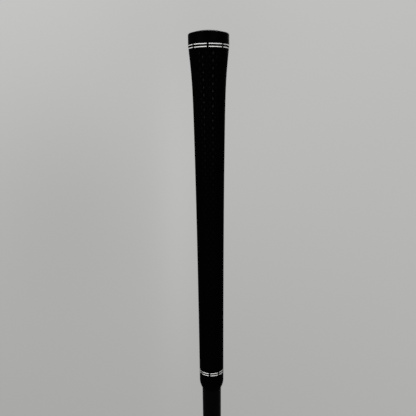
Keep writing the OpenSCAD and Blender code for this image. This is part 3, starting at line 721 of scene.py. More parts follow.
grip = node_tool(tile, "grip_marks", tile_field, {
    "Tiles round": MARKS_ROUND, "Rows": MARK_ROWS, "Row pitch": ROW_PITCH * MM,
    "First row": FIRST_ROW * MM, "First turn": radians(FIRST_TURN),
    "Slim": GRIP_SLIM * MM, "Taper": GRIP_TAPER * MM, "Taper fade": GRIP_TAPER_FADE * MM,
    "Flare": GRIP_FLARE * MM, "Flare fade": GRIP_FLARE_FADE * MM, "Top": GRIP_TOP * MM,
    "Material": GRIP_RUBBER,
})
print("marked rubber:", len(grip.data.polygons), "faces")

# %% [markdown]
# ## The rest of the grip sleeve
#
# Above and below the marks the rubber is smooth, apart from two pairs of dashed grooves that hold
# the paint. Those grooves need grid lines where the dashes begin and end, and the marks need others,
# so the stretches are built on their own grids and zipped together ring by ring: walking round both
# rings at once, the next point is always the one with the smaller angle.

# %% Rings and zips
SHAFT_BUTT, SHAFT_TIP = 15.24, 8.51
BUTT_PARALLEL, TIP_PARALLEL = 195.0, 128.0
CAP_FLOOR, CAP_DEPTH, CAP_SPIGOT, SPIGOT_WALL, TAPE = 4.8, 9.4, 6.0, 2.4, 0.2
MOUTH_ROUND, MOUTH_LIP, BELOW_BAND = 7.0, 5.0, 258.0
HEAD_END = 962.75           # how far the shaft's tip is below the origin, mm
SHAFT_LENGTH = GRIP_TOP - CAP_FLOOR + HEAD_END


def grip_r(depth):
    """The rubber's radius at a depth below the top of the cap."""
    return (GRIP_SLIM + GRIP_TAPER * np.exp(-depth / GRIP_TAPER_FADE)
            + GRIP_FLARE * np.exp(-((depth / GRIP_FLARE_FADE) ** 2))) / 2


def shaft_r(depth):
    """The shaft's radius at a depth below the top of the cap."""
    share = (depth - CAP_FLOOR - BUTT_PARALLEL) / (SHAFT_LENGTH - BUTT_PARALLEL - TIP_PARALLEL)
    return (SHAFT_BUTT + (SHAFT_TIP - SHAFT_BUTT) * np.clip(share, 0, 1)) / 2


def ring(bm, radius, depth, turns):
    """Points round the axis, with their angles, as the edge of a stretch."""
    return [(t, bm.verts.new((radius * cos(t) * MM, radius * sin(t) * MM, (GRIP_TOP - depth) * MM)))
            for t in turns]


def zip_rings(bm, upper, lower):
    """Triangles between two rings whose points need not line up."""
    closed = []
    for points in (upper, lower):
        points = sorted(((t % (2 * pi), v) for t, v in points), key=lambda point: point[0])
        closed.append(points + [(points[0][0] + 2 * pi, points[0][1])])
    (upper, lower), a, b = closed, 0, 0
    while a + 1 < len(upper) or b + 1 < len(lower):
        corners = upper[a][1], lower[b][1]
        if b + 1 == len(lower) or (a + 1 < len(upper) and upper[a + 1][0] <= lower[b + 1][0]):
            a += 1
            bm.faces.new((*corners, upper[a][1]))
        else:
            b += 1
            bm.faces.new((*corners, lower[b][1]))


EVEN_SIDES, DASH_STEPS, BAND_EDGE = 112, 14, 0.3
EVEN = [2 * pi * k / EVEN_SIDES for k in range(EVEN_SIDES)]
BAND_LINE, DASH_GAP, GROOVE = 0.5, 1.4, 0.32
BANDS = {                   # name: (middle's depth, distance of the lines, dashes, angle of a gap)
    "butt": (11.2, 1.9, 8, -93),
    "mouth": (GRIP_LENGTH - 15.1, 1.7, 8, -100),
}


def dash_band(bm, middle, pitch, count, first):
    """A stretch with two dashed grooves. Gives back its upper and lower rings."""
    gap = DASH_GAP / grip_r(middle) * 0.95                 # a little less than the paint leaves free
    turns = []
    for k in range(count):
        start = radians(first) + 2 * pi * k / count
        turns += [start - gap / 2, start]
        turns += [start + gap / 2 + (2 * pi / count - gap) * m / DASH_STEPS for m in range(DASH_STEPS)]
    sunk = [m % (DASH_STEPS + 2) >= 2 for m in range(len(turns))]
    half = BAND_LINE / 2 + 0.02                            # and a little more than its width
    lines = [middle + side * pitch / 2 + edge for side in (-1, 1) for edge in (-half, half)]
    depths = [lines[0] - BAND_EDGE, *lines, lines[3] + BAND_EDGE]
    points = {}

    def at(i, j, level):
        j %= len(turns)
        if (i, j, level) not in points:
            radius = grip_r(depths[i]) - GROOVE * level
            points[i, j, level] = ring(bm, radius, depths[i], [turns[j]])[0][1]
        return points[i, j, level]

    def low(i, j):
        return i in (1, 3) and sunk[j % len(turns)]

    for i in range(len(depths) - 1):
        for j in range(len(turns)):
            level = low(i, j)
            around = [(i, j), (i, j + 1), (i + 1, j + 1), (i + 1, j)]
            bm.faces.new([at(*corner, level) for corner in around[::-1]])
            if level:
                open_sides = [False, low(i, j + 1), False, low(i, j - 1)]
                for p, q, goes_on in zip(around, around[1:] + around[:1], open_sides):
                    if not goes_on:
                        bm.faces.new((at(*p, 0), at(*q, 0), at(*q, 1), at(*p, 1)))
    last = len(depths) - 1
    return [[(turns[j], at(i, j, 0)) for j in range(len(turns))] for i in (0, last)]


def open_ring(bm, highest):
    """The upper or lower open edge of the marked rubber."""
    found = {v for e in bm.edges if e.is_boundary for v in e.verts}
    level = (max if highest else min)(v.co.z for v in found)
    return [(float(np.arctan2(v.co.y, v.co.x)), v) for v in found if abs(v.co.z - level) < 1e-4]


# %% [markdown]
# More rings close the sleeve: smooth rubber down to the rounded mouth, then up again inside, over the
# tape, to the seat of the cap's spigot. A boolean of two finished parts would leave slivers where
# their grids meet, and rings that are zipped leave none.

# %% Sew the sleeve together
def finish_sleeve(bm):
    """Adds the smooth stretches, the bands, the rounded mouth and the bore to the marked rubber."""
    top, low = open_ring(bm, True), open_ring(bm, False)
    butt_up, butt_low = dash_band(bm, *BANDS["butt"])
    mouth_up, mouth_low = dash_band(bm, *BANDS["mouth"])
    rim = ring(bm, grip_r(CAP_DEPTH), CAP_DEPTH, EVEN)
    zip_rings(bm, rim, butt_up)
    zip_rings(bm, butt_low, top)
    zip_rings(bm, low, mouth_up)
    edge, round_at = mouth_low, GRIP_LENGTH - MOUTH_ROUND
    bare = shaft_r(GRIP_LENGTH)
    wall = grip_r(round_at) - bare
    tape_end, knee = GRIP_LENGTH - MOUTH_LIP, CAP_FLOOR + BUTT_PARALLEL
    bore, seat = shaft_r(0) + TAPE, shaft_r(0) + TAPE + SPIGOT_WALL
    profile = [(grip_r(d), d) for d in np.linspace(BELOW_BAND, round_at, 5)]
    profile += [(bare + wall * (1 - t * t), round_at + MOUTH_ROUND * t) for t in np.linspace(0, 1, 12)[1:]]
    profile += [(shaft_r(tape_end), tape_end), (shaft_r(tape_end) + TAPE, tape_end),
                (shaft_r(knee) + TAPE, knee), (bore, CAP_DEPTH + CAP_SPIGOT),
                (seat, CAP_DEPTH + CAP_SPIGOT), (seat, CAP_DEPTH)]
    for radius, depth in profile:
        following = ring(bm, radius, depth, EVEN)
        zip_rings(bm, edge, following)
        edge = following
    zip_rings(bm, edge, rim)
    bmesh.ops.recalc_face_normals(bm, faces=bm.faces)


with editing(grip) as bm:
    finish_sleeve(bm)
hand_over(grip, "club", "grip_rubber", GRIP_RUBBER, "grip_sleeve", sharp=28)

# %% [markdown]
# ## Turned pieces
#
# A lathe makes the shaft, the ferrule, the cap and most of the small parts, so one function turns
# any closed outline of radius and height into a mesh. Where the outline touches the axis, the ring
# shrinks to a single point. The solids' own meshes would do from afar, but close up a finer outline
# gives the cap its rounded rim and the sleeve its grooves.

# %% Lathe
def lathe(name, outline, place=Matrix.Identity(4), sides=96):
    """A closed outline of (radius, height), turned round the local Z axis."""
    points, rows, faces = [], [], []
    for radius, height in outline:
        count = sides if radius > 1e-6 else 1
        rows.append(range(len(points), len(points) + count))
        points += [(radius * cos(2 * pi * k / sides), radius * sin(2 * pi * k / sides), height)
                   for k in range(count)]
    for first, second in zip(rows, rows[1:] + rows[:1]):
        if len(first) == len(second) == 1:
            continue
        for k in range(sides):
            corners = [first[k % len(first)], first[(k + 1) % len(first)],
                       second[(k + 1) % len(second)], second[k % len(second)]]
            faces.append(list(dict.fromkeys(corners)))
    return outward(mesh_object(name, points, faces, place))


def rounded(corners, radius, steps=4):
    """An outline whose corners are rounded. Each corner is (r, z) or (r, z, own radius)."""
    made = []
    for k, corner in enumerate(corners):
        here = np.array(corner[:2], float)
        before, after = np.array(corners[k - 1][:2]), np.array(corners[(k + 1) % len(corners)][:2])
        size = corner[2] if len(corner) > 2 else radius
        back, on = before - here, after - here
        size = min(size, 0.45 * np.linalg.norm(back), 0.45 * np.linalg.norm(on))
        if size < 1e-3 or here[0] < 1e-6:
            made.append(tuple(here))
            continue
        start, stop = here + back / np.linalg.norm(back) * size, here + on / np.linalg.norm(on) * size
        for t in np.linspace(0, 1, steps + 1):
            made.append(tuple((1 - t) ** 2 * start + 2 * t * (1 - t) * here + t * t * stop))
    return made


# %% [markdown]
# The cap is a shallow dome with a vent hole. Two fine rings are moulded into it, and a thin step at
# its foot keeps it visibly apart from the sleeve.

# %% Cap
CAP_DOME, CAP_RIM, VENT = 2.1, 1.2, 1.6
CAP_RINGS = (4.6, 10.4)                # radius of the fine rings


def fine_groove(at, middle, depth, width):
    """How far a moulded or turned ring lies below the surface."""
    return depth * np.exp(-(((at - middle) / width) ** 2))


def cap_outline():
    """From the vent hole over the dome, round the rim, down to the seam and back inside."""
    wide = grip_r(CAP_DEPTH)
    tilt = np.arctan(2 * CAP_DOME / wide)
    dome = wide - CAP_RIM * (1 - np.sin(tilt))
    made = [(VENT, -CAP_FLOOR), (VENT, -0.4), (VENT + 0.3, -0.1)]
    for r in np.linspace(2.4, dome, 44):
        z = -CAP_DOME * (r / dome) ** 2
        for groove in CAP_RINGS:
            z -= fine_groove(r, groove, 0.22, 0.28)
        made.append((r, z))
    for a in np.linspace(pi / 2 - tilt, 0, 10)[1:]:
        made.append((wide - CAP_RIM * (1 - cos(a)), -CAP_DOME - CAP_RIM * (np.cos(tilt) - sin(a))))
    seat = shaft_r(0) + TAPE
    made += [(wide, -CAP_DEPTH + 0.3), (wide - 0.25, -CAP_DEPTH), (seat + SPIGOT_WALL, -CAP_DEPTH),
             (seat + SPIGOT_WALL, -CAP_DEPTH - CAP_SPIGOT), (seat, -CAP_DEPTH - CAP_SPIGOT),
             (seat, -CAP_FLOOR)]
    return made


GRIP_AT = Matrix.Translation((0, 0, GRIP_TOP * MM))
cap = lathe("end_cap", cap_outline(), GRIP_AT)
hand_over(cap, "club", "cap_rubber", CAP_RUBBER, "grip_end_cap")

# %% [markdown]
# The shaft is a long tube: parallel for a hand's width at the butt, then an even taper, then
# parallel again where the sleeve holds it. Many points along a straight taper are wasted, so it has
# rings only where the slope changes and every few centimetres for the shading.

# %% Shaft and ferrule
HOLLOW, HOLLOW_TIP = 6.6, 2.3          # inner radius at the butt and at the tip
RING_EVERY = 20


def shaft_outline():
    """Down the outside and up the inside."""
    knees = [CAP_FLOOR + d for d in (0, BUTT_PARALLEL, SHAFT_LENGTH - TIP_PARALLEL, SHAFT_LENGTH)]
    depths = sorted({*knees, *np.arange(CAP_FLOOR + RING_EVERY, knees[-1], RING_EVERY)})
    outer = [(float(shaft_r(d)), -d) for d in depths]
    return outer + [(r, -d) for r, d in zip((HOLLOW_TIP, HOLLOW_TIP, HOLLOW, HOLLOW), knees[::-1])]


shaft = lathe("shaft_tube", shaft_outline(), GRIP_AT)
hand_over(shaft, "club", "shaft_black", SHAFT_BLACK, "shaft")

FERRULE_LENGTH, HOSEL_R = 22.0, 6.75
FERRULE_RINGS = (3.2, 4.6)             # height of the fine rings above the foot
GLUE_GAP = 0.05                        # round the shaft's tip
BEND = -930.0               # height where the shaft's axis and the hosel's axis cross, mm


def ferrule_outline():
    """A collar that tapers up the shaft, with two fine turned rings near its foot."""
    bore = SHAFT_TIP / 2 + GLUE_GAP
    made = [(bore, 0), (HOSEL_R - 0.3, 0), (HOSEL_R - 0.08, 0.12), (HOSEL_R, 0.35)]
    for u in np.linspace(0.03, 1, 60):
        r = HOSEL_R - (HOSEL_R - SHAFT_TIP / 2 - 0.5) * (0.25 * u + 0.75 * u * u)
        z = 0.3 + u * (FERRULE_LENGTH - 0.3)
        for groove in FERRULE_RINGS:
            r -= fine_groove(z, groove, 0.2, 0.22)
        made.append((r, z))
    return made + [(bore + 0.15, FERRULE_LENGTH), (bore, FERRULE_LENGTH - 0.15)]


SHAFT_FOOT = Matrix.Translation((0, 0, BEND * MM))
ferrule = lathe("ferrule_ring", ferrule_outline(), SHAFT_FOOT)
hand_over(ferrule, "club", "ferrule_plastic", FERRULE_PLASTIC, "ferrule")

# %% [markdown]
# ## Where the lower pieces are
#
# Three nested frames place everything below the shaft. The hosel axis leans one degree from the
# shaft's. The head is described as it sits at address, with the ground at height 0. The weight sits
# square to the sole, on a frame of its own. Each frame is one matrix, and a piece is modelled
# upright in its frame and then put in place.

# %% Frames
BORE_LEAN, LIE, LOFT = 1.0, 57.0, 15.0
HOSEL_TOP, COLLAR = 50.0, 12.0


def shift(x, y, z):
    return Matrix.Translation(Vector((x, y, z)) * MM)


def tip(degrees, axis):
    return Matrix.Rotation(radians(degrees), 4, axis)


ON_HOSEL = shift(0, 0, BEND) @ tip(BORE_LEAN, "Y") @ shift(0, 0, -HOSEL_TOP - COLLAR)
AT_ADDRESS = ON_HOSEL @ tip(LIE - 90, "Y")
print("ground under the hosel", [round(v, 4) for v in ON_HOSEL.translation])

# %% [markdown]
# ## The head's skin
#
# The head has no straight line on it, but it follows rules. A share runs from 0 at the face to 1 at
# the back, and an angle runs round each section: 0 at the heel, 90 on the crown, 180 at the toe,
# 270 on the sole. Width, crown height, sole height and the widest line are short formulas of the
# share, and each section is a rounded box between them. The face adds bulge and roll, and a fillet
# draws the skin up to the hosel. Sculpting or a subdivision cage would also give a head, but one
# formula lets crown, body and face share their edges exactly. The arrays work on all points at once.

# %% Skin
HALF_WIDTH, DEPTH, CROWN_HEIGHT, FACE_TOP = 49.5, 84.0, 38.5, 35.0
GIRTH, GIRTH_DROP, LEAD_RISE, MIDDLE, AHEAD = 16.0, 2.5, 2.0, -30.0, 17.0
TOE_RISE, PEAR, TAIL_BOW, NARROW = 1.5, 0.05, 3.0, 0.165
BULGE, ROLL, FACE_EDGE = 280.0, 260.0, 1.5
SQUARE_TOP, SQUARE_SOLE = 0.87, 0.72    # powers of the section: 1 is an ellipse, 0 a box
CROWN_PEAK, SOLE_FLAT, NARROW_END, EDGE_END = 0.22, 0.2, 0.4, 0.03      # shares of the depth
FILLET_RISE, FILLET_REACH = 6.0, 5.0
MID_HEIGHT = (FACE_TOP + LEAD_RISE) / 2
HOSEL_WAY = np.array([cos(radians(LIE)), 0, sin(radians(LIE))])


def bent(value, power):
    return np.sign(value) * np.abs(value) ** power


def set_back(x, z):
    """How far the domed, lofted face lies behind its lowest edge."""
    return ((z - MID_HEIGHT) * np.tan(radians(LOFT)) + (x - MIDDLE) ** 2 / (2 * BULGE)
            + (z - MID_HEIGHT) ** 2 / (2 * ROLL))


def girth_z(v):
    return GIRTH - GIRTH_DROP * v


def skin(share, turn):
    """Points of the outer surface at address, in millimetres."""
    share, turn = np.broadcast_arrays(np.asarray(share, float), np.asarray(turn, float))
    c, s = np.cos(np.radians(turn)), np.sin(np.radians(turn))
    upper = turn < 180
    v = share - TAIL_BOW * share ** 4 * (1 - share) * c ** 2
    inset = FACE_EDGE * np.clip(1 - v / EDGE_END, 0, 1) ** 2
    power = np.where(upper, SQUARE_TOP, SQUARE_SOLE)
    half = HALF_WIDTH * np.sqrt(1 - v ** 3) * (1 - NARROW * np.clip(1 - v / NARROW_END, 0, 1) ** 2)
    x = MIDDLE + (half - inset) * bent(c, power) * (1 - PEAR * c * 6.75 * v * v * (1 - v))
    girth = girth_z(v)
    behind_peak = np.clip((v - CROWN_PEAK) / (1 - CROWN_PEAK), 0, 1)
    dome = np.clip(1 - behind_peak ** 2.2, 0, 1) ** 0.6
    top = np.where(v < CROWN_PEAK, CROWN_HEIGHT - (CROWN_HEIGHT - FACE_TOP) * (1 - v / CROWN_PEAK) ** 2,
                   girth + (CROWN_HEIGHT - girth) * dome)
    behind_flat = np.clip((v - SOLE_FLAT) / (1 - SOLE_FLAT), 0, 1)
    keel = np.sqrt(np.clip(1 - behind_flat ** 3, 0, 1))
    sole = np.where(v < SOLE_FLAT, LEAD_RISE * (1 - v / SOLE_FLAT) ** 2, girth * (1 - keel))
    reach = np.where(upper, top - girth, girth - sole) - inset
    lift = np.where(upper, -TOE_RISE * np.sin(2 * np.radians(turn)) * (1 - v), 0)
    z = girth + reach * bent(s, power) + lift
    y = DEPTH * v - AHEAD + (1 - v) ** 3 * set_back(x, z)
    point = np.stack([x, y, z], -1)
    away = np.maximum(0, np.linalg.norm(np.cross(point, HOSEL_WAY), axis=-1) - HOSEL_R)
    rise = FILLET_RISE * np.exp(-(away / FILLET_REACH) ** 2) * np.clip((z - girth) / 8 + 0.5, 0, 1)
    return point + HOSEL_WAY * rise[..., None]


# %% [markdown]
# The skin becomes a grid of sections. The grid is four times as fine as the solid's in both
# directions, and its lines pass through the solid's, so every seam of the real head falls on a grid
# line. A second grid holds the inward normals, and a third gives any depth under the skin.

# %% Grid
FINER = 4
SIDES, BACK_RINGS, CUP = 48 * FINER, 22, 4 * FINER


def share_at(ring_number):
    """The share of the depth at a ring of the solid's grid, also between two rings."""
    near = np.interp(ring_number, [0, 1, 2, 3], [0, 0.006, 0.015, 0.03])
    far = 0.03 + 0.9685 * np.sin(np.radians(90 * (ring_number - 3) / BACK_RINGS))
    return np.where(ring_number < 3, near, far)


LAST = (BACK_RINGS + 3) * FINER
rings = skin(share_at(np.arange(LAST + 1) / FINER)[:, None], np.arange(SIDES)[None] * 360 / SIDES)
round_way = np.roll(rings, -1, 1) - np.roll(rings, 1, 1)
back_way = np.empty_like(rings)
back_way[1:-1] = rings[2:] - rings[:-2]
back_way[0], back_way[-1] = rings[1] - rings[0], rings[-1] - rings[-2]
inward = np.cross(round_way, back_way)
inward /= np.linalg.norm(inward, axis=-1, keepdims=True)


def under(depth):
    return rings + inward * depth


heights = rings[..., 2]
print("skin grid", rings.shape[:2], "lowest", heights.min().round(2), "highest", heights.max().round(2))

# %% [markdown]
# A shell is built in layers between depths under the skin. Each cell of a layer is either solid or
# bare, and a face is made wherever a solid cell has a bare neighbour. That gives a closed wall with
# whatever ledges and openings the rule asks for, and no boolean has to cut them.

# %% Layered shell
CELL_SIDES = {              # way to the neighbour: the side's corners, as steps of row, column and level
    (0, 0, -1): ((0, 0, 0), (0, 1, 0), (1, 1, 0), (1, 0, 0)),
    (0, 0, 1): ((0, 0, 1), (1, 0, 1), (1, 1, 1), (0, 1, 1)),
    (-1, 0, 0): ((0, 0, 0), (0, 0, 1), (0, 1, 1), (0, 1, 0)),
    (1, 0, 0): ((1, 0, 0), (1, 1, 0), (1, 1, 1), (1, 0, 1)),
    (0, -1, 0): ((0, 0, 0), (1, 0, 0), (1, 0, 1), (0, 0, 1)),
    (0, 1, 0): ((0, 1, 0), (0, 1, 1), (1, 1, 1), (1, 1, 0)),
}


def layered(name, first, last, depths, solid, closed_back=False):
    """solid(i, j, layer) says whether a cell is there, in the grid's own rows and columns."""
    levels = np.stack([under(d)[first:last + 1] for d in depths])
    rows = last - first + 1
    points = levels.reshape(-1, 3)
    tail = [[MIDDLE, DEPTH - AHEAD - d, girth_z(1)] for d in depths]
    layers = len(depths) - 1
    there = np.zeros((rows + 1, SIDES, layers + 2), bool)      # padded by a bare cell all round
    for i in range(rows - 1):
        for j in range(SIDES):
            for k in range(layers):
                there[i + 1, j, k + 1] = solid(i + first, j, k)
    faces = []

    def at(i, j, k):
        return k * rows * SIDES + i * SIDES + j % SIDES

    for i, j, k in np.argwhere(there[1:-1, :, 1:-1]).tolist():
        hindmost = closed_back and i == rows - 2           # there the wall runs on to the tail
        for (di, dj, dk), corners in CELL_SIDES.items():
            if there[i + 1 + di, (j + dj) % SIDES, k + 1 + dk] or (hindmost and di > 0):
                continue
            faces.append([at(i + a, j + b, k + c) for a, b, c in corners])
            if hindmost and dk:
                level = k + (dk > 0)
                faces.append((at(rows - 1, j, level), at(rows - 1, j + 1, level), len(points) + level))
    used = sorted({p for f in faces for p in f})
    number = {p: n for n, p in enumerate(used)}
    every = np.concatenate([points, tail])
    return outward(mesh_object(name, every[used], [[number[p] for p in f] for f in faces], AT_ADDRESS))


CROWN_FIRST, CROWN_LAST, CROWN_SIDES = 5 * FINER, 20 * FINER, (6 * FINER, 20 * FINER)


def in_crown(i, j, grow=0):
    grow *= FINER
    return (CROWN_FIRST - grow <= i < CROWN_LAST + grow
            and CROWN_SIDES[0] - grow <= j < CROWN_SIDES[1] + grow)


# %% [markdown]
# ## The crown
#
# The crown is a thin composite panel that is glued onto a ledge. What shows is the outermost ply: a
# twill, in which each tow passes over two and under two, and the step moves on by one tow per row,
# so fine diagonals run across it. The weave has its own map, laid flat on the panel from above,
# because a weave is a cloth and does not slice through the panel as Object coordinates would.

# %% Crown panel
WALL, CROWN_T, GLUE, LEDGE = 1.1, 0.8, 0.1, 0.9


def soften(piece, width, angle=50):
    """A narrow bevel on the sharp edges."""
    step = piece.modifiers.new("soft_edges", "BEVEL")
    step.width, step.segments, step.limit_method = width * MM, 2, "ANGLE"
    step.angle_limit = radians(angle)
    return applied(piece)


def address_points(mesh):
    """A mesh's points at address, in millimetres."""
    flat = np.empty(len(mesh.vertices) * 3)
    mesh.vertices.foreach_get("co", flat)
    back = np.array(AT_ADDRESS.inverted())
    return (flat.reshape(-1, 3) @ back[:3, :3].T + back[:3, 3]) / MM


def flat_map(piece):
    """A UV map laid from above, one unit to the millimetre."""
    mesh = piece.data
    spots = address_points(mesh)[:, :2]
    corners = np.empty(len(mesh.loops), int)
    mesh.loops.foreach_get("vertex_index", corners)
    layer = mesh.uv_layers.new(name="weave")
    layer.data.foreach_set("uv", spots[corners].ravel())
    return piece


def twill_finish(name, tow, relief):
    """Two-by-two twill under a clear coat. tow is how wide one is, relief how high, in mm."""
    made, tree, shader = new_material(name)
    spot = {"Vector": add(tree, "ShaderNodeUVMap", uv_map="weave").outputs[0], "Angle": radians(45)}
    axes = split(tree, add(tree, "ShaderNodeVectorRotate", spot, rotation_type="Z_AXIS").outputs[0])
    u, v = (calc(tree, "DIVIDE", axes[axis], tow) for axis in "XY")
    step = calc(tree, "ADD", calc(tree, "FLOOR", u), calc(tree, "FLOOR", v))
    warp = calc(tree, "LESS_THAN", calc(tree, "FLOORED_MODULO", step, 4.0), 1.5)
    height = []
    for way in (v, u):
        off_middle = calc(tree, "SUBTRACT", calc(tree, "FRACT", way), 0.5)
        height.append(calc(tree, "SUBTRACT", 0.25, square(tree, off_middle)))
    cloud = use(tree, GRAIN, Grains_per_mm=2.0)["Cloud"]
    dark = blend(tree, cloud, grey(0.003), grey(0.005))
    drive(tree, shader, Base_Color=blend(tree, warp, dark, grey(0.016, (1, 1, 1.04))),
          Normal=bumped(tree, blend(tree, warp, *height, "FLOAT"), relief),
          Roughness=calc(tree, "MULTIPLY_ADD", use(tree, HANDLING)["Smear"], 0.1, 0.3),
          Coat_Weight=1.0, Coat_Roughness=0.03, Specular_IOR_Level=0.5)
    return made


TOW, RELIEF = 1.6, 0.1
CROWN_TWILL = twill_finish("crown_twill", TOW, RELIEF)
crown = layered("crown_panel", CROWN_FIRST, CROWN_LAST, [0, CROWN_T], lambda i, j, k: in_crown(i, j))
flat_map(soften(crown, 0.14))
hand_over(crown, "head", "crown_black", CROWN_TWILL, "crown", sharp=40)

# %% [markdown]
# ## The head body
#
# The body is one investment casting: skirt, sole and rear, with a ledge under the crown, the hosel,
# the bolt port and the pocket for the weight. The shell comes from the layers and the round parts
# from the lathe.

# %% Casting
ROOT_D, ROOT_LOW, STRAIGHT, SWELL = 14.0, 9.0, 8.0, 16.0
BORE_R, WEB, WEB_GAP, PORT_WALL, PORT_GAP = 5.83, 3.0, 1.0, 1.6, 0.2
BARREL, SPLINE_LENGTH = 24.7, 8.7
BOLT_HEAD_D, SCREW_D, WASHER_EDGE = 8.2, 4.9, 0.5
SLEEVE_LOW = HOSEL_TOP - BARREL - SPLINE_LENGTH
WEB_TOP = SLEEVE_LOW - WEB_GAP
WEB_LOW = WEB_TOP - WEB
PORT_R = BOLT_HEAD_D / 2 + WASHER_EDGE + PORT_GAP
BOLT_HOLE = SCREW_D / 2 + 0.3


def casting_layer(i, j, k):
    if in_crown(i, j):
        return not in_crown(i, j, -1) and k > 0
    return k < 2 or in_crown(i, j, 1)


def hosel_outline():
    ball = ROOT_D / 2
    made = [(0, HOSEL_TOP), (HOSEL_R - 0.3, HOSEL_TOP), (HOSEL_R - 0.08, HOSEL_TOP - 0.08),
            (HOSEL_R, HOSEL_TOP - 0.3), (HOSEL_R, HOSEL_TOP - STRAIGHT)]
    made += [(HOSEL_R + (ball - HOSEL_R) * u * u, HOSEL_TOP - STRAIGHT - SWELL * u)
             for u in np.linspace(0, 1, 9)[1:]]
    made += [(ball * cos(a), ROOT_LOW + ball * (1 - sin(a))) for a in np.linspace(0, pi / 2, 10)]
    return made


def plug(name, radius, low, high, place, lip=0.0, sides=96):
    """A plain cutter or a boss. A lip widens its lower end by a chamfer above the given height."""
    outline = [(0, low), (radius + lip, low), (radius, low + lip), (radius, high), (0, high)]
    return lathe(name, outline if lip else [outline[k] for k in (0, 1, 3, 4)], place, sides)


def port_tube():
    """The tube round the bolt port. Its lower end follows the sole, inside the wall."""
    middle = (under(WALL / 2).reshape(-1, 3) * MM).tolist()
    tree = BVHTree.FromPolygons(middle, round_quads(LAST + 1, SIDES))
    into = AT_ADDRESS.inverted() @ ON_HOSEL
    radius, low, sides = PORT_R + PORT_WALL, [], 96
    up = (into.to_3x3() @ Vector((0, 0, 1))).normalized()
    for k in range(sides):
        x, y = radius * cos(2 * pi * k / sides), radius * sin(2 * pi * k / sides)
        start = into @ (Vector((x, y, WEB_TOP)) * MM)
        low.append((x, y, WEB_TOP - (start - tree.ray_cast(start, -up)[0]).length / MM))
    top = [(x, y, WEB_TOP) for x, y, _ in low]
    poles = [(0, 0, float(np.mean([z for x, y, z in low]))), (0, 0, WEB_TOP)]
    faces = round_quads(2, sides) + fan(2 * sides, 0, sides) + fan(2 * sides + 1, sides, sides)
    return outward(mesh_object("port", low + top + poles, faces, ON_HOSEL))


WEIGHT_INSET, WEIGHT_R, RECESS, WEIGHT_H, WEIGHT_GAP = 20.0, 9.0, 0.5, 5.6, 0.2
GASKET, BOSS_WALL, SCREW_HEAD_D, SCREW_HEAD_H, SCREW_LENGTH = 0.4, 1.8, 8.4, 3.0, 8.0
weight_share = 1 - WEIGHT_INSET / DEPTH
seat = skin(weight_share, 270.0)
run = skin(weight_share + 0.05, 270.0) - skin(weight_share - 0.05, 270.0)
AT_WEIGHT = AT_ADDRESS @ shift(*seat) @ Matrix.Rotation(np.arctan2(run[2], run[1]), 4, "X")
WEIGHT_TOP = RECESS + WEIGHT_H
BOSS_TOP = RECESS + SCREW_HEAD_H + SCREW_LENGTH + 2
print("weight seat", [round(v, 5) for v in AT_WEIGHT.translation])


# %% [markdown]
# The top of the casting is lacquered black up to the crown and the sole is left blasted. The line
# between them runs a little above the widest line of the head, and another follows the rim of the
# face. The lower line lies in one plane and the front line is the face's own formula, so both can be
# worked out from Object coordinates, to far below the size of a triangle. Vertex colours or a second
# material slot would follow the triangles' edges instead.

# %% Lacquer
LINE_RISE, LINE_SOFT = 2.0, 0.12        # how far the line is above the widest line, and how soft


def lacquer_group():
    """The share of black lacquer: above the lower line, and behind a line on the face's rim."""
    made, given, out = group("lacquer_line", {"Front inset mm": -5.0}, ["Share"])
    place = add(made, "ShaderNodeTexCoord").outputs["Object"]
    address = []
    for row in AT_ADDRESS.inverted()[:3]:
        way = {0: place, 1: tuple(v / MM for v in row[:3])}
        along = add(made, "ShaderNodeVectorMath", way, operation="DOT_PRODUCT").outputs["Value"]
        address.append(calc(made, "ADD", along, row[3] / MM))
    x, y, z = address
    behind = calc(made, "ADD", y, AHEAD)
    above = calc(made, "SUBTRACT", z, GIRTH + LINE_RISE)
    skirt = calc(made, "MULTIPLY_ADD", behind, GIRTH_DROP / DEPTH, above)
    up, side = calc(made, "SUBTRACT", z, MID_HEIGHT), calc(made, "SUBTRACT", x, MIDDLE)
    face = calc(made, "MULTIPLY", up, float(np.tan(radians(LOFT))))
    face = calc(made, "MULTIPLY_ADD", square(made, side), 1 / (2 * BULGE), face)
    face = calc(made, "MULTIPLY_ADD", square(made, up), 1 / (2 * ROLL), face)
    front = calc(made, "SUBTRACT", calc(made, "SUBTRACT", behind, face), given["Front inset mm"])
    drive(made, out, Share=ramp(made, calc(made, "MINIMUM", skirt, front), -LINE_SOFT, LINE_SOFT))
    return made


LACQUER = lacquer_group()


def lacquered(name, front, lacquer_rough=0.1, **steel):
    """Blasted or brushed steel with black lacquer on top, from a line behind the face's front."""
    made = finish(name, **steel)
    tree = made.node_tree
    shader = tree.nodes["Principled BSDF"].inputs
    share = use(tree, LACQUER, Front_inset_mm=front)["Share"]
    plain = add(tree, "ShaderNodeNewGeometry").outputs["Normal"]
    for label, value, kind in (("Roughness", lacquer_rough, "FLOAT"), ("Metallic", 0.0, "FLOAT"),
                               ("Base Color", grey(0.004), "RGBA"), ("Normal", plain, "VECTOR")):
        socket = shader[label]
        base = socket.links[0].from_socket if socket.is_linked else socket.default_value
        tree.links.new(blend(tree, share, base, value, kind), socket)
    return made


# %% [markdown]
# Booleans weld the parts of the casting and then bore them out, in the order in which a workshop
# would, so that each bore runs clean through everything it meets.

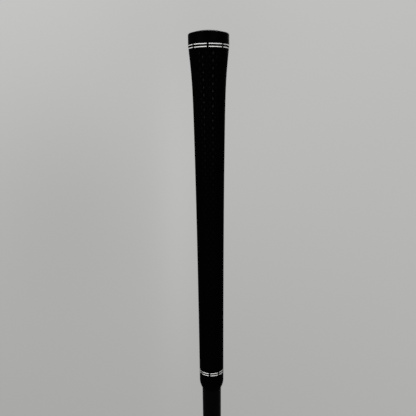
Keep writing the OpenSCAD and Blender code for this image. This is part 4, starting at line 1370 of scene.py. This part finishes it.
# %% Weld and bore
BODY_STEEL = lacquered("body_steel", -20.0, dark=grey(0.205), light=grey(0.215), rough=0.42, metal=1.0,
                       grain=0.006, per_mm=9, smear=0.02, wear=grey(0.5), worn=0.35)
body = layered("head_casting", CUP, LAST, [0, CROWN_T + GLUE, WALL, CROWN_T + GLUE + LEDGE],
               casting_layer, closed_back=True)
combine(body, "UNION",
        lathe("hosel", hosel_outline(), ON_HOSEL), port_tube(),
        plug("boss", WEIGHT_R + WEIGHT_GAP + BOSS_WALL, WALL * 0.9, BOSS_TOP, AT_WEIGHT))
combine(body, "DIFFERENCE",
        plug("bore", BORE_R, WEB_TOP, HOSEL_TOP * 2, ON_HOSEL),
        plug("bolt_hole", BOLT_HOLE, 0, HOSEL_TOP, ON_HOSEL),
        plug("port_bore", PORT_R, -2 * PORT_R, WEB_LOW, ON_HOSEL),
        plug("pocket", WEIGHT_R + WEIGHT_GAP, -WEIGHT_R, WEIGHT_TOP + GASKET, AT_WEIGHT),
        plug("thread", SCREW_D / 2 + 0.05, 0, BOSS_TOP - 1, AT_WEIGHT, sides=48))
hand_over(body, "head", "body_steel", BODY_STEEL, "head_body", sharp=30)

# %% [markdown]
# ## The face
#
# The face cup is forged from a harder steel: a plate that is domed from heel to toe and from crown
# to sole, and whose edge turns back to be welded to the body. Its front is brushed, and score lines
# are milled across it. The plate is a stack of rings from the middle to the edge, once for the front
# and once for the back.

# %% Face plate
FACE_T, FACE_STEPS, HEEL_GAP = 2.0, 40, 0.02


def face_rows(depth):
    """Rings of the face from near its middle to its edge, a depth behind its front."""
    edge = under(depth)[0]
    lip = edge[:, 1] - (depth - AHEAD + set_back(edge[:, 0], edge[:, 2]))
    rows = []
    for q in np.linspace(0, 1, FACE_STEPS + 1)[1:-1]:
        x = MIDDLE + (edge[:, 0] - MIDDLE) * q
        z = MID_HEIGHT + (edge[:, 2] - MID_HEIGHT) * q
        rows.append(np.stack([x, depth - AHEAD + set_back(x, z) + q * q * lip, z], -1))
    return rows


def face_plate():
    """Out over the front, round the turned edge, and in again over the back."""
    rows = [*face_rows(0), *rings[:CUP + 1], *under(WALL)[CUP:2 * FINER - 1:-1], *face_rows(FACE_T)[::-1]]
    points = np.concatenate([*rows, [[MIDDLE, -AHEAD, MID_HEIGHT], [MIDDLE, FACE_T - AHEAD, MID_HEIGHT]]])
    pole = len(rows) * SIDES
    faces = round_quads(len(rows), SIDES) + fan(pole, 0, SIDES) + fan(pole + 1, pole - SIDES, SIDES)
    return outward(mesh_object("face_plate", points, faces, AT_ADDRESS))


# %% [markdown]
# The cutters for the score lines are made by Geometry Nodes, because they are one shape repeated at
# a fixed pitch and bent to the face's own formula. So every line is equally deep all along.

# %% Score lines
SCORE_COUNT, SCORE_PITCH, SCORE_DEPTH, SCORE_WIDTH = 9, 2.9, 0.28, 0.8
SCORE_LOW, SCORE_HALF, SCORE_STEPS = 7.4, 27.0, 49


def score_bar():
    """A straight cutter along X: a flat-bottomed groove, open at the front, in short lengths."""
    half, front = SCORE_WIDTH / 2, -1.5
    section = [(front, -half), (front, half), (0, half), (SCORE_DEPTH, half * 0.6),
               (SCORE_DEPTH, -half * 0.6), (0, -half)]
    corners = len(section)
    points = [(x, y, z) for x in np.linspace(-SCORE_HALF, SCORE_HALF, SCORE_STEPS) for y, z in section]
    faces = round_quads(SCORE_STEPS, corners)
    faces += [range(corners), range((SCORE_STEPS - 1) * corners, SCORE_STEPS * corners)]
    return outward(mesh_object("score_cutters", points, faces))


def score_field(tree, given):
    """Bars one above the other, each point set back as far as the face is there."""
    index = add(tree, "GeometryNodeInputIndex").outputs[0]
    height = calc(tree, "MULTIPLY_ADD", index, given["Pitch"], given["Lowest"])
    flat = copies(tree, given["Geometry"], given["Count"], join(tree, Z=height))
    spot = split(tree, add(tree, "GeometryNodeInputPosition").outputs[0])
    up = calc(tree, "SUBTRACT", spot["Z"], given["Mid height"])
    bulge, roll = (calc(tree, "DIVIDE", square(tree, way), calc(tree, "MULTIPLY", given[name], 2.0))
                   for way, name in ((spot["X"], "Bulge"), (up, "Roll")))
    back = calc(tree, "MULTIPLY_ADD", up, given["Slope"], calc(tree, "ADD", bulge, roll))
    x = calc(tree, "ADD", spot["X"], given["Middle"])
    y = calc(tree, "SUBTRACT", calc(tree, "ADD", spot["Y"], back), given["Ahead"])
    on_face = {"Geometry": flat, "Position": join(tree, X=x, Y=y, Z=spot["Z"])}
    return add(tree, "GeometryNodeSetPosition", on_face).outputs[0]


FACE_STEEL = lacquered("face_steel", 1.7, dark=grey(0.39), light=grey(0.405), rough=0.3, metal=1.0,
                       lines=0.006, lines_per_mm=6, along=(0.03, 0.3, 1.0), wear=grey(0.6), worn=0.4)
cutters = node_tool(score_bar(), "score_lines", score_field, {
    "Count": SCORE_COUNT, "Pitch": SCORE_PITCH * MM, "Lowest": SCORE_LOW * MM,
    "Mid height": MID_HEIGHT * MM, "Bulge": BULGE * MM, "Roll": ROLL * MM,
    "Slope": float(np.tan(radians(LOFT))), "Middle": MIDDLE * MM, "Ahead": AHEAD * MM,
    "Material": FACE_STEEL,
})
cutters.data.transform(AT_ADDRESS)
face = combine(face_plate(), "DIFFERENCE", outward(cutters),
               plug("heel_clearance", ROOT_D / 2 + HEEL_GAP, ROOT_LOW + 4, HOSEL_TOP, ON_HOSEL))
hand_over(face, "head", "face_steel", FACE_STEEL, "face_cup", sharp=30)

# %% [markdown]
# ## What repeats round an axis
#
# Splines on the sleeve, the lobes of a driver socket and the index ticks of the collar are all one
# shape set round a circle. One small tree does them all: it puts a number of points on the axis,
# gives each its share of a full turn, and sets the shape on them.

# %% Round the axis
def round_field(tree, given):
    """The given shape, set round the local Z axis."""
    index = add(tree, "GeometryNodeInputIndex").outputs[0]
    step = calc(tree, "DIVIDE", 2 * pi, given["Count"])
    turn = calc(tree, "MULTIPLY_ADD", index, step, given["First turn"])
    spots = add(tree, "GeometryNodePoints", {"Count": given["Count"]}).outputs[0]
    inputs = {"Points": spots, "Instance": given["Geometry"], "Rotation": join(tree, Z=turn)}
    return add(tree, "GeometryNodeInstanceOnPoints", inputs).outputs[0]


def set_round(piece, count, material, place, first=0.0):
    """Repeats a piece round Z, then puts it in its frame."""
    node_tool(piece, f"{piece.name}_round", round_field,
              {"Count": count, "First turn": radians(first), "Material": material})
    piece.data.transform(place)
    return outward(piece)


def block(name, low, high, place=Matrix.Identity(4), taper=0.0):
    """A block between two corners, in mm. taper draws in its outer X face."""
    (x0, y0, z0), (x1, y1, z1) = low, high
    points = [(x, y * (1 - taper * (x == x1)), z) for x in (x0, x1) for y in (y0, y1) for z in (z0, z1)]
    faces = [(0, 1, 3, 2), (4, 6, 7, 5), (0, 4, 5, 1), (2, 3, 7, 6), (0, 2, 6, 4), (1, 5, 7, 3)]
    return outward(mesh_object(name, points, faces, place))


# %% [markdown]
# ## The loft sleeve
#
# The sleeve is one turned and milled bar. Its splined end drops into the head's socket, and the
# shaft's bore leans inside it, so turning it by a few splines changes the loft. The splines are
# tapered ribs on a core, welded to the barrel. The bores are cut last, the upper one on the shaft's
# own axis. Fine ticks round the collar show how far it is turned, against one tick on the hosel.

# %% Sleeve
SPLINES, SPLINE_ROOT, SPLINE_D, SPLINE_WIDTH = 12, 9.0, 10.2, 1.1
BARREL_R, BORE_DEPTH, INSERT_D, INSERT_LENGTH = 5.75, 34.0, 6.6, 9.2
GREASE_GROOVES, GREASE_DEPTH = (9, 18), 0.18    # height above the barrel's foot


def sleeve_outline():
    """The core, the barrel with two shallow grease grooves, and the collar."""
    core, barrel_low = SPLINE_ROOT / 2, SLEEVE_LOW + SPLINE_LENGTH
    made = [(0, SLEEVE_LOW), (core - 0.25, SLEEVE_LOW), (core, SLEEVE_LOW + 0.25), (core, barrel_low),
            (BARREL_R - 0.3, barrel_low), (BARREL_R, barrel_low + 0.3)]
    for at in GREASE_GROOVES:
        level, floor_r = barrel_low + at, BARREL_R - GREASE_DEPTH
        made += [(BARREL_R, level - 0.6), (floor_r, level - 0.4), (floor_r, level + 0.4),
                 (BARREL_R, level + 0.6)]
    top = HOSEL_TOP + COLLAR
    made += [(BARREL_R, HOSEL_TOP), (HOSEL_R - 0.3, HOSEL_TOP), (HOSEL_R - 0.08, HOSEL_TOP + 0.08),
             (HOSEL_R, HOSEL_TOP + 0.3), (HOSEL_R, top - 1.5), (HOSEL_R - 0.15, top - 1.35),
             (HOSEL_R - 0.15, top - 1.0), (HOSEL_R, top - 0.85), (HOSEL_R, top + 2), (0, top + 2)]
    return made


sleeve = lathe("loft_sleeve_bar", sleeve_outline(), ON_HOSEL)
rib = block("spline", (SPLINE_ROOT / 2 - 0.6, -SPLINE_WIDTH / 2, SLEEVE_LOW + 0.2),
            (SPLINE_D / 2, SPLINE_WIDTH / 2, SLEEVE_LOW + SPLINE_LENGTH + 0.2), taper=0.18)
combine(sleeve, "UNION", set_round(rib, SPLINES, SLEEVE_BLACK, ON_HOSEL))
combine(sleeve, "DIFFERENCE",
        plug("collar_end", 2 * HOSEL_R, 0, 6, SHAFT_FOOT),
        plug("shaft_bore", SHAFT_TIP / 2 + GLUE_GAP, -BORE_DEPTH, 1, SHAFT_FOOT),
        plug("insert_bore", INSERT_D / 2, SLEEVE_LOW - 1, SLEEVE_LOW + INSERT_LENGTH, ON_HOSEL))
hand_over(sleeve, "club", "sleeve_black", SLEEVE_BLACK, "loft_sleeve", sharp=30)

TICK_HALF, TICK_HEIGHT, HOSEL_TICK_HEIGHT, FROM_SEAM = 0.16, 1.5, 2.0, 0.6
TICK_IN, TICK_OUT = HOSEL_R - 0.3, HOSEL_R + 0.03
tick = block("index_ticks", (TICK_IN, -TICK_HALF, HOSEL_TOP + FROM_SEAM),
             (TICK_OUT, TICK_HALF, HOSEL_TOP + FROM_SEAM + TICK_HEIGHT))
set_round(tick, SPLINES, BAND_PAINT, ON_HOSEL, first=-90)
hand_over(tick, "club", "band_paint", BAND_PAINT)
mark = block("hosel_tick", (-TICK_HALF, -TICK_OUT, HOSEL_TOP - FROM_SEAM - HOSEL_TICK_HEIGHT),
             (TICK_HALF, -TICK_IN, HOSEL_TOP - FROM_SEAM), ON_HOSEL)
hand_over(mark, "head", "band_paint", BAND_PAINT)

# %% [markdown]
# ## Screws
#
# The bolt and the weight's screw show their heads from below, and their threads once they are backed
# out. A thread is a grid whose rows climb by one pitch per turn, so that each row keeps its place in
# the groove's section: its last point falls on the first point of the row one pitch higher, and
# merging those doubles closes the helix. At both ends the rows are held back to a flat ring.

# %% Threaded shank
PITCH, THREAD_DEPTH, THREAD_SIDES = 0.8, 0.38, 40
GROOVE_SECTION = (0, 0.45, 1, 1, 0.45, 0)      # how deep each row lies, as a share of the depth
RUN_OUT = 0.4                                  # turns at each end without a thread


def threaded(name, radius, low, high, place):
    """A rod with a helical groove between two heights."""
    per_turn = len(GROOVE_SECTION)
    turns = int(np.ceil((high - low) / PITCH)) + 2
    points = []
    for i in range(-per_turn, turns * per_turn):
        for j in range(THREAD_SIDES + 1):
            z = low + (i / per_turn + j / THREAD_SIDES) * PITCH
            threaded_here = min(z - low, high - z) / PITCH > RUN_OUT
            r = radius - THREAD_DEPTH * (GROOVE_SECTION[i % per_turn] if threaded_here else 1)
            a = 2 * pi * j / THREAD_SIDES
            points.append((r * cos(a), r * sin(a), min(max(z, low), high)))
    wide, pole = THREAD_SIDES + 1, len(points)
    last = pole - wide
    points += [(0, 0, low), (0, 0, high)]
    faces = [(i + j, i + j + 1, i + wide + j + 1, i + wide + j)
             for i in range(0, last, wide) for j in range(THREAD_SIDES)]
    faces += [(pole, j + 1, j) for j in range(THREAD_SIDES)]
    faces += [(pole + 1, last + j, last + j + 1) for j in range(THREAD_SIDES)]
    made = mesh_object(name, points, faces, place)
    with editing(made) as bm:
        bmesh.ops.remove_doubles(bm, verts=bm.verts, dist=SEAM)
        bmesh.ops.dissolve_degenerate(bm, edges=bm.edges, dist=SEAM / 2)
        bmesh.ops.recalc_face_normals(bm, faces=bm.faces)
    return made


# %% [markdown]
# A screw is welded from four lengths, which are its head, its bare neck, its thread and its point,
# and the driver socket is cut last. The bolt's head stops just short of its washer, so the two do
# not rub when the bolt turns.

# %% Bolt and screw
LOBES, LOBE_D, LOBE_DEPTH = 6, 4.5, 2.4
CORE_R, LOBE_R, LOBE_OUT = 0.39 * LOBE_D, 0.14 * LOBE_D, 0.36 * LOBE_D
NECK, POINT, WELD = 1.2, 0.5, 0.2       # bare neck, bare point, and how far the lengths overlap


def six_lobe(name, level, place):
    """The cutter of a driver socket: a round core and six lobes."""
    core = plug(name, CORE_R, level - 1, level + LOBE_DEPTH, place, sides=48)
    lobe = plug("lobe", LOBE_R, level - 1, level + LOBE_DEPTH, shift(LOBE_OUT, 0, 0), sides=16)
    return combine(core, "UNION", set_round(lobe, LOBES, FASTENER_STEEL, place))


def screw(name, place, low, head_d, head_h, end):
    """A cylinder-head screw whose head faces down the local Z axis."""
    r, top = head_d / 2, low + head_h
    shank, root = SCREW_D / 2 - 0.05, SCREW_D / 2 - THREAD_DEPTH
    head = lathe(name, rounded([(0, low), (r, low, 0.45), (r, top, 0.15), (0, top)], 0.3), place)
    neck = lathe("shank", [(0, top - WELD), (shank, top - WELD), (shank, top + NECK - 0.3),
                           (root, top + NECK), (0, top + NECK)], place, 48)
    thread = threaded("thread", SCREW_D / 2, top + NECK - 2 * WELD, end - POINT, place)
    point = lathe("point", [(0, end - POINT - WELD), (root, end - POINT - WELD), (root - 0.4, end),
                            (0, end)], place, 48)
    combine(head, "UNION", neck, thread, point)
    return combine(head, "DIFFERENCE", six_lobe("driver", low, place))


BOLT_HEAD_H, WASHER_H, BOLT_GRIP = 3.6, 1.0, 8.6       # the last is the bolt's reach into the sleeve
UNDER_HEAD = 0.02
bolt = screw("bolt", ON_HOSEL, WEB_LOW - WASHER_H - BOLT_HEAD_H, BOLT_HEAD_D, BOLT_HEAD_H - UNDER_HEAD,
             SLEEVE_LOW + BOLT_GRIP)
hand_over(bolt, "bolt", "fastener_steel", FASTENER_STEEL, "hosel_bolt", sharp=30)
pin = screw("weight_pin", AT_WEIGHT, RECESS, SCREW_HEAD_D, SCREW_HEAD_H,
            RECESS + SCREW_HEAD_H + SCREW_LENGTH)
hand_over(pin, "screw", "fastener_steel", FASTENER_STEEL, "weight_screw", sharp=30)

# %% [markdown]
# ## The rear weight
#
# A turned disc of heavy steel in a pocket of the sole. Its rim is rounded, a fine ring is turned into
# its face, and the screw's head sits in a counterbore.

# %% Weight
CLEARANCE, EDGE = 0.4, 0.05
FACE_RING = ((6.4, 0), (6.55, 0.2), (6.9, 0.2), (7.05, 0))     # radius and depth


def weight_outline():
    counterbore, hole = (SCREW_HEAD_D + CLEARANCE) / 2, (SCREW_D + CLEARANCE) / 2
    floor_at = RECESS + SCREW_HEAD_H
    inner = [(hole, WEIGHT_TOP), (hole, floor_at), (counterbore, floor_at), (counterbore, RECESS, 0.3)]
    turned = [(r, RECESS + depth) for r, depth in FACE_RING]
    return rounded([*inner, *turned, (WEIGHT_R, RECESS, 0.6), (WEIGHT_R, WEIGHT_TOP, 0.2)], EDGE)


weight = lathe("weight_disc", weight_outline(), AT_WEIGHT)
hand_over(weight, "weight", "weight_steel", WEIGHT_STEEL, "rear_weight", sharp=30)

# %% [markdown]
# ## The solids that stay
#
# What is left is right as packed: the paint in the grooves, and the plain rings, pins and plugs that
# only show when the club comes apart. They keep their own meshes and only get their finishes.

# %% Finishes for the solids
KEPT = {
    "butt_band_paint": BAND_PAINT, "mouth_band_paint": BAND_PAINT, "grip_tape": GRIP_TAPE,
    "tip_weight": TIP_BRASS, "tip_stopper": STOPPER_CORK, "thread_insert": INSERT_STEEL,
    "mass_pad": SOCKET_STEEL, "spline_socket": SOCKET_STEEL, "bolt_washer": FASTENER_STEEL,
    "bolt_keeper": KEEPER_PLASTIC, "weight_gasket": GASKET_RUBBER,
}
for name, material in KEPT.items():
    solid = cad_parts[name]
    solid.data.materials.clear()
    solid.data.materials.append(material)
print("solids kept", len(KEPT))
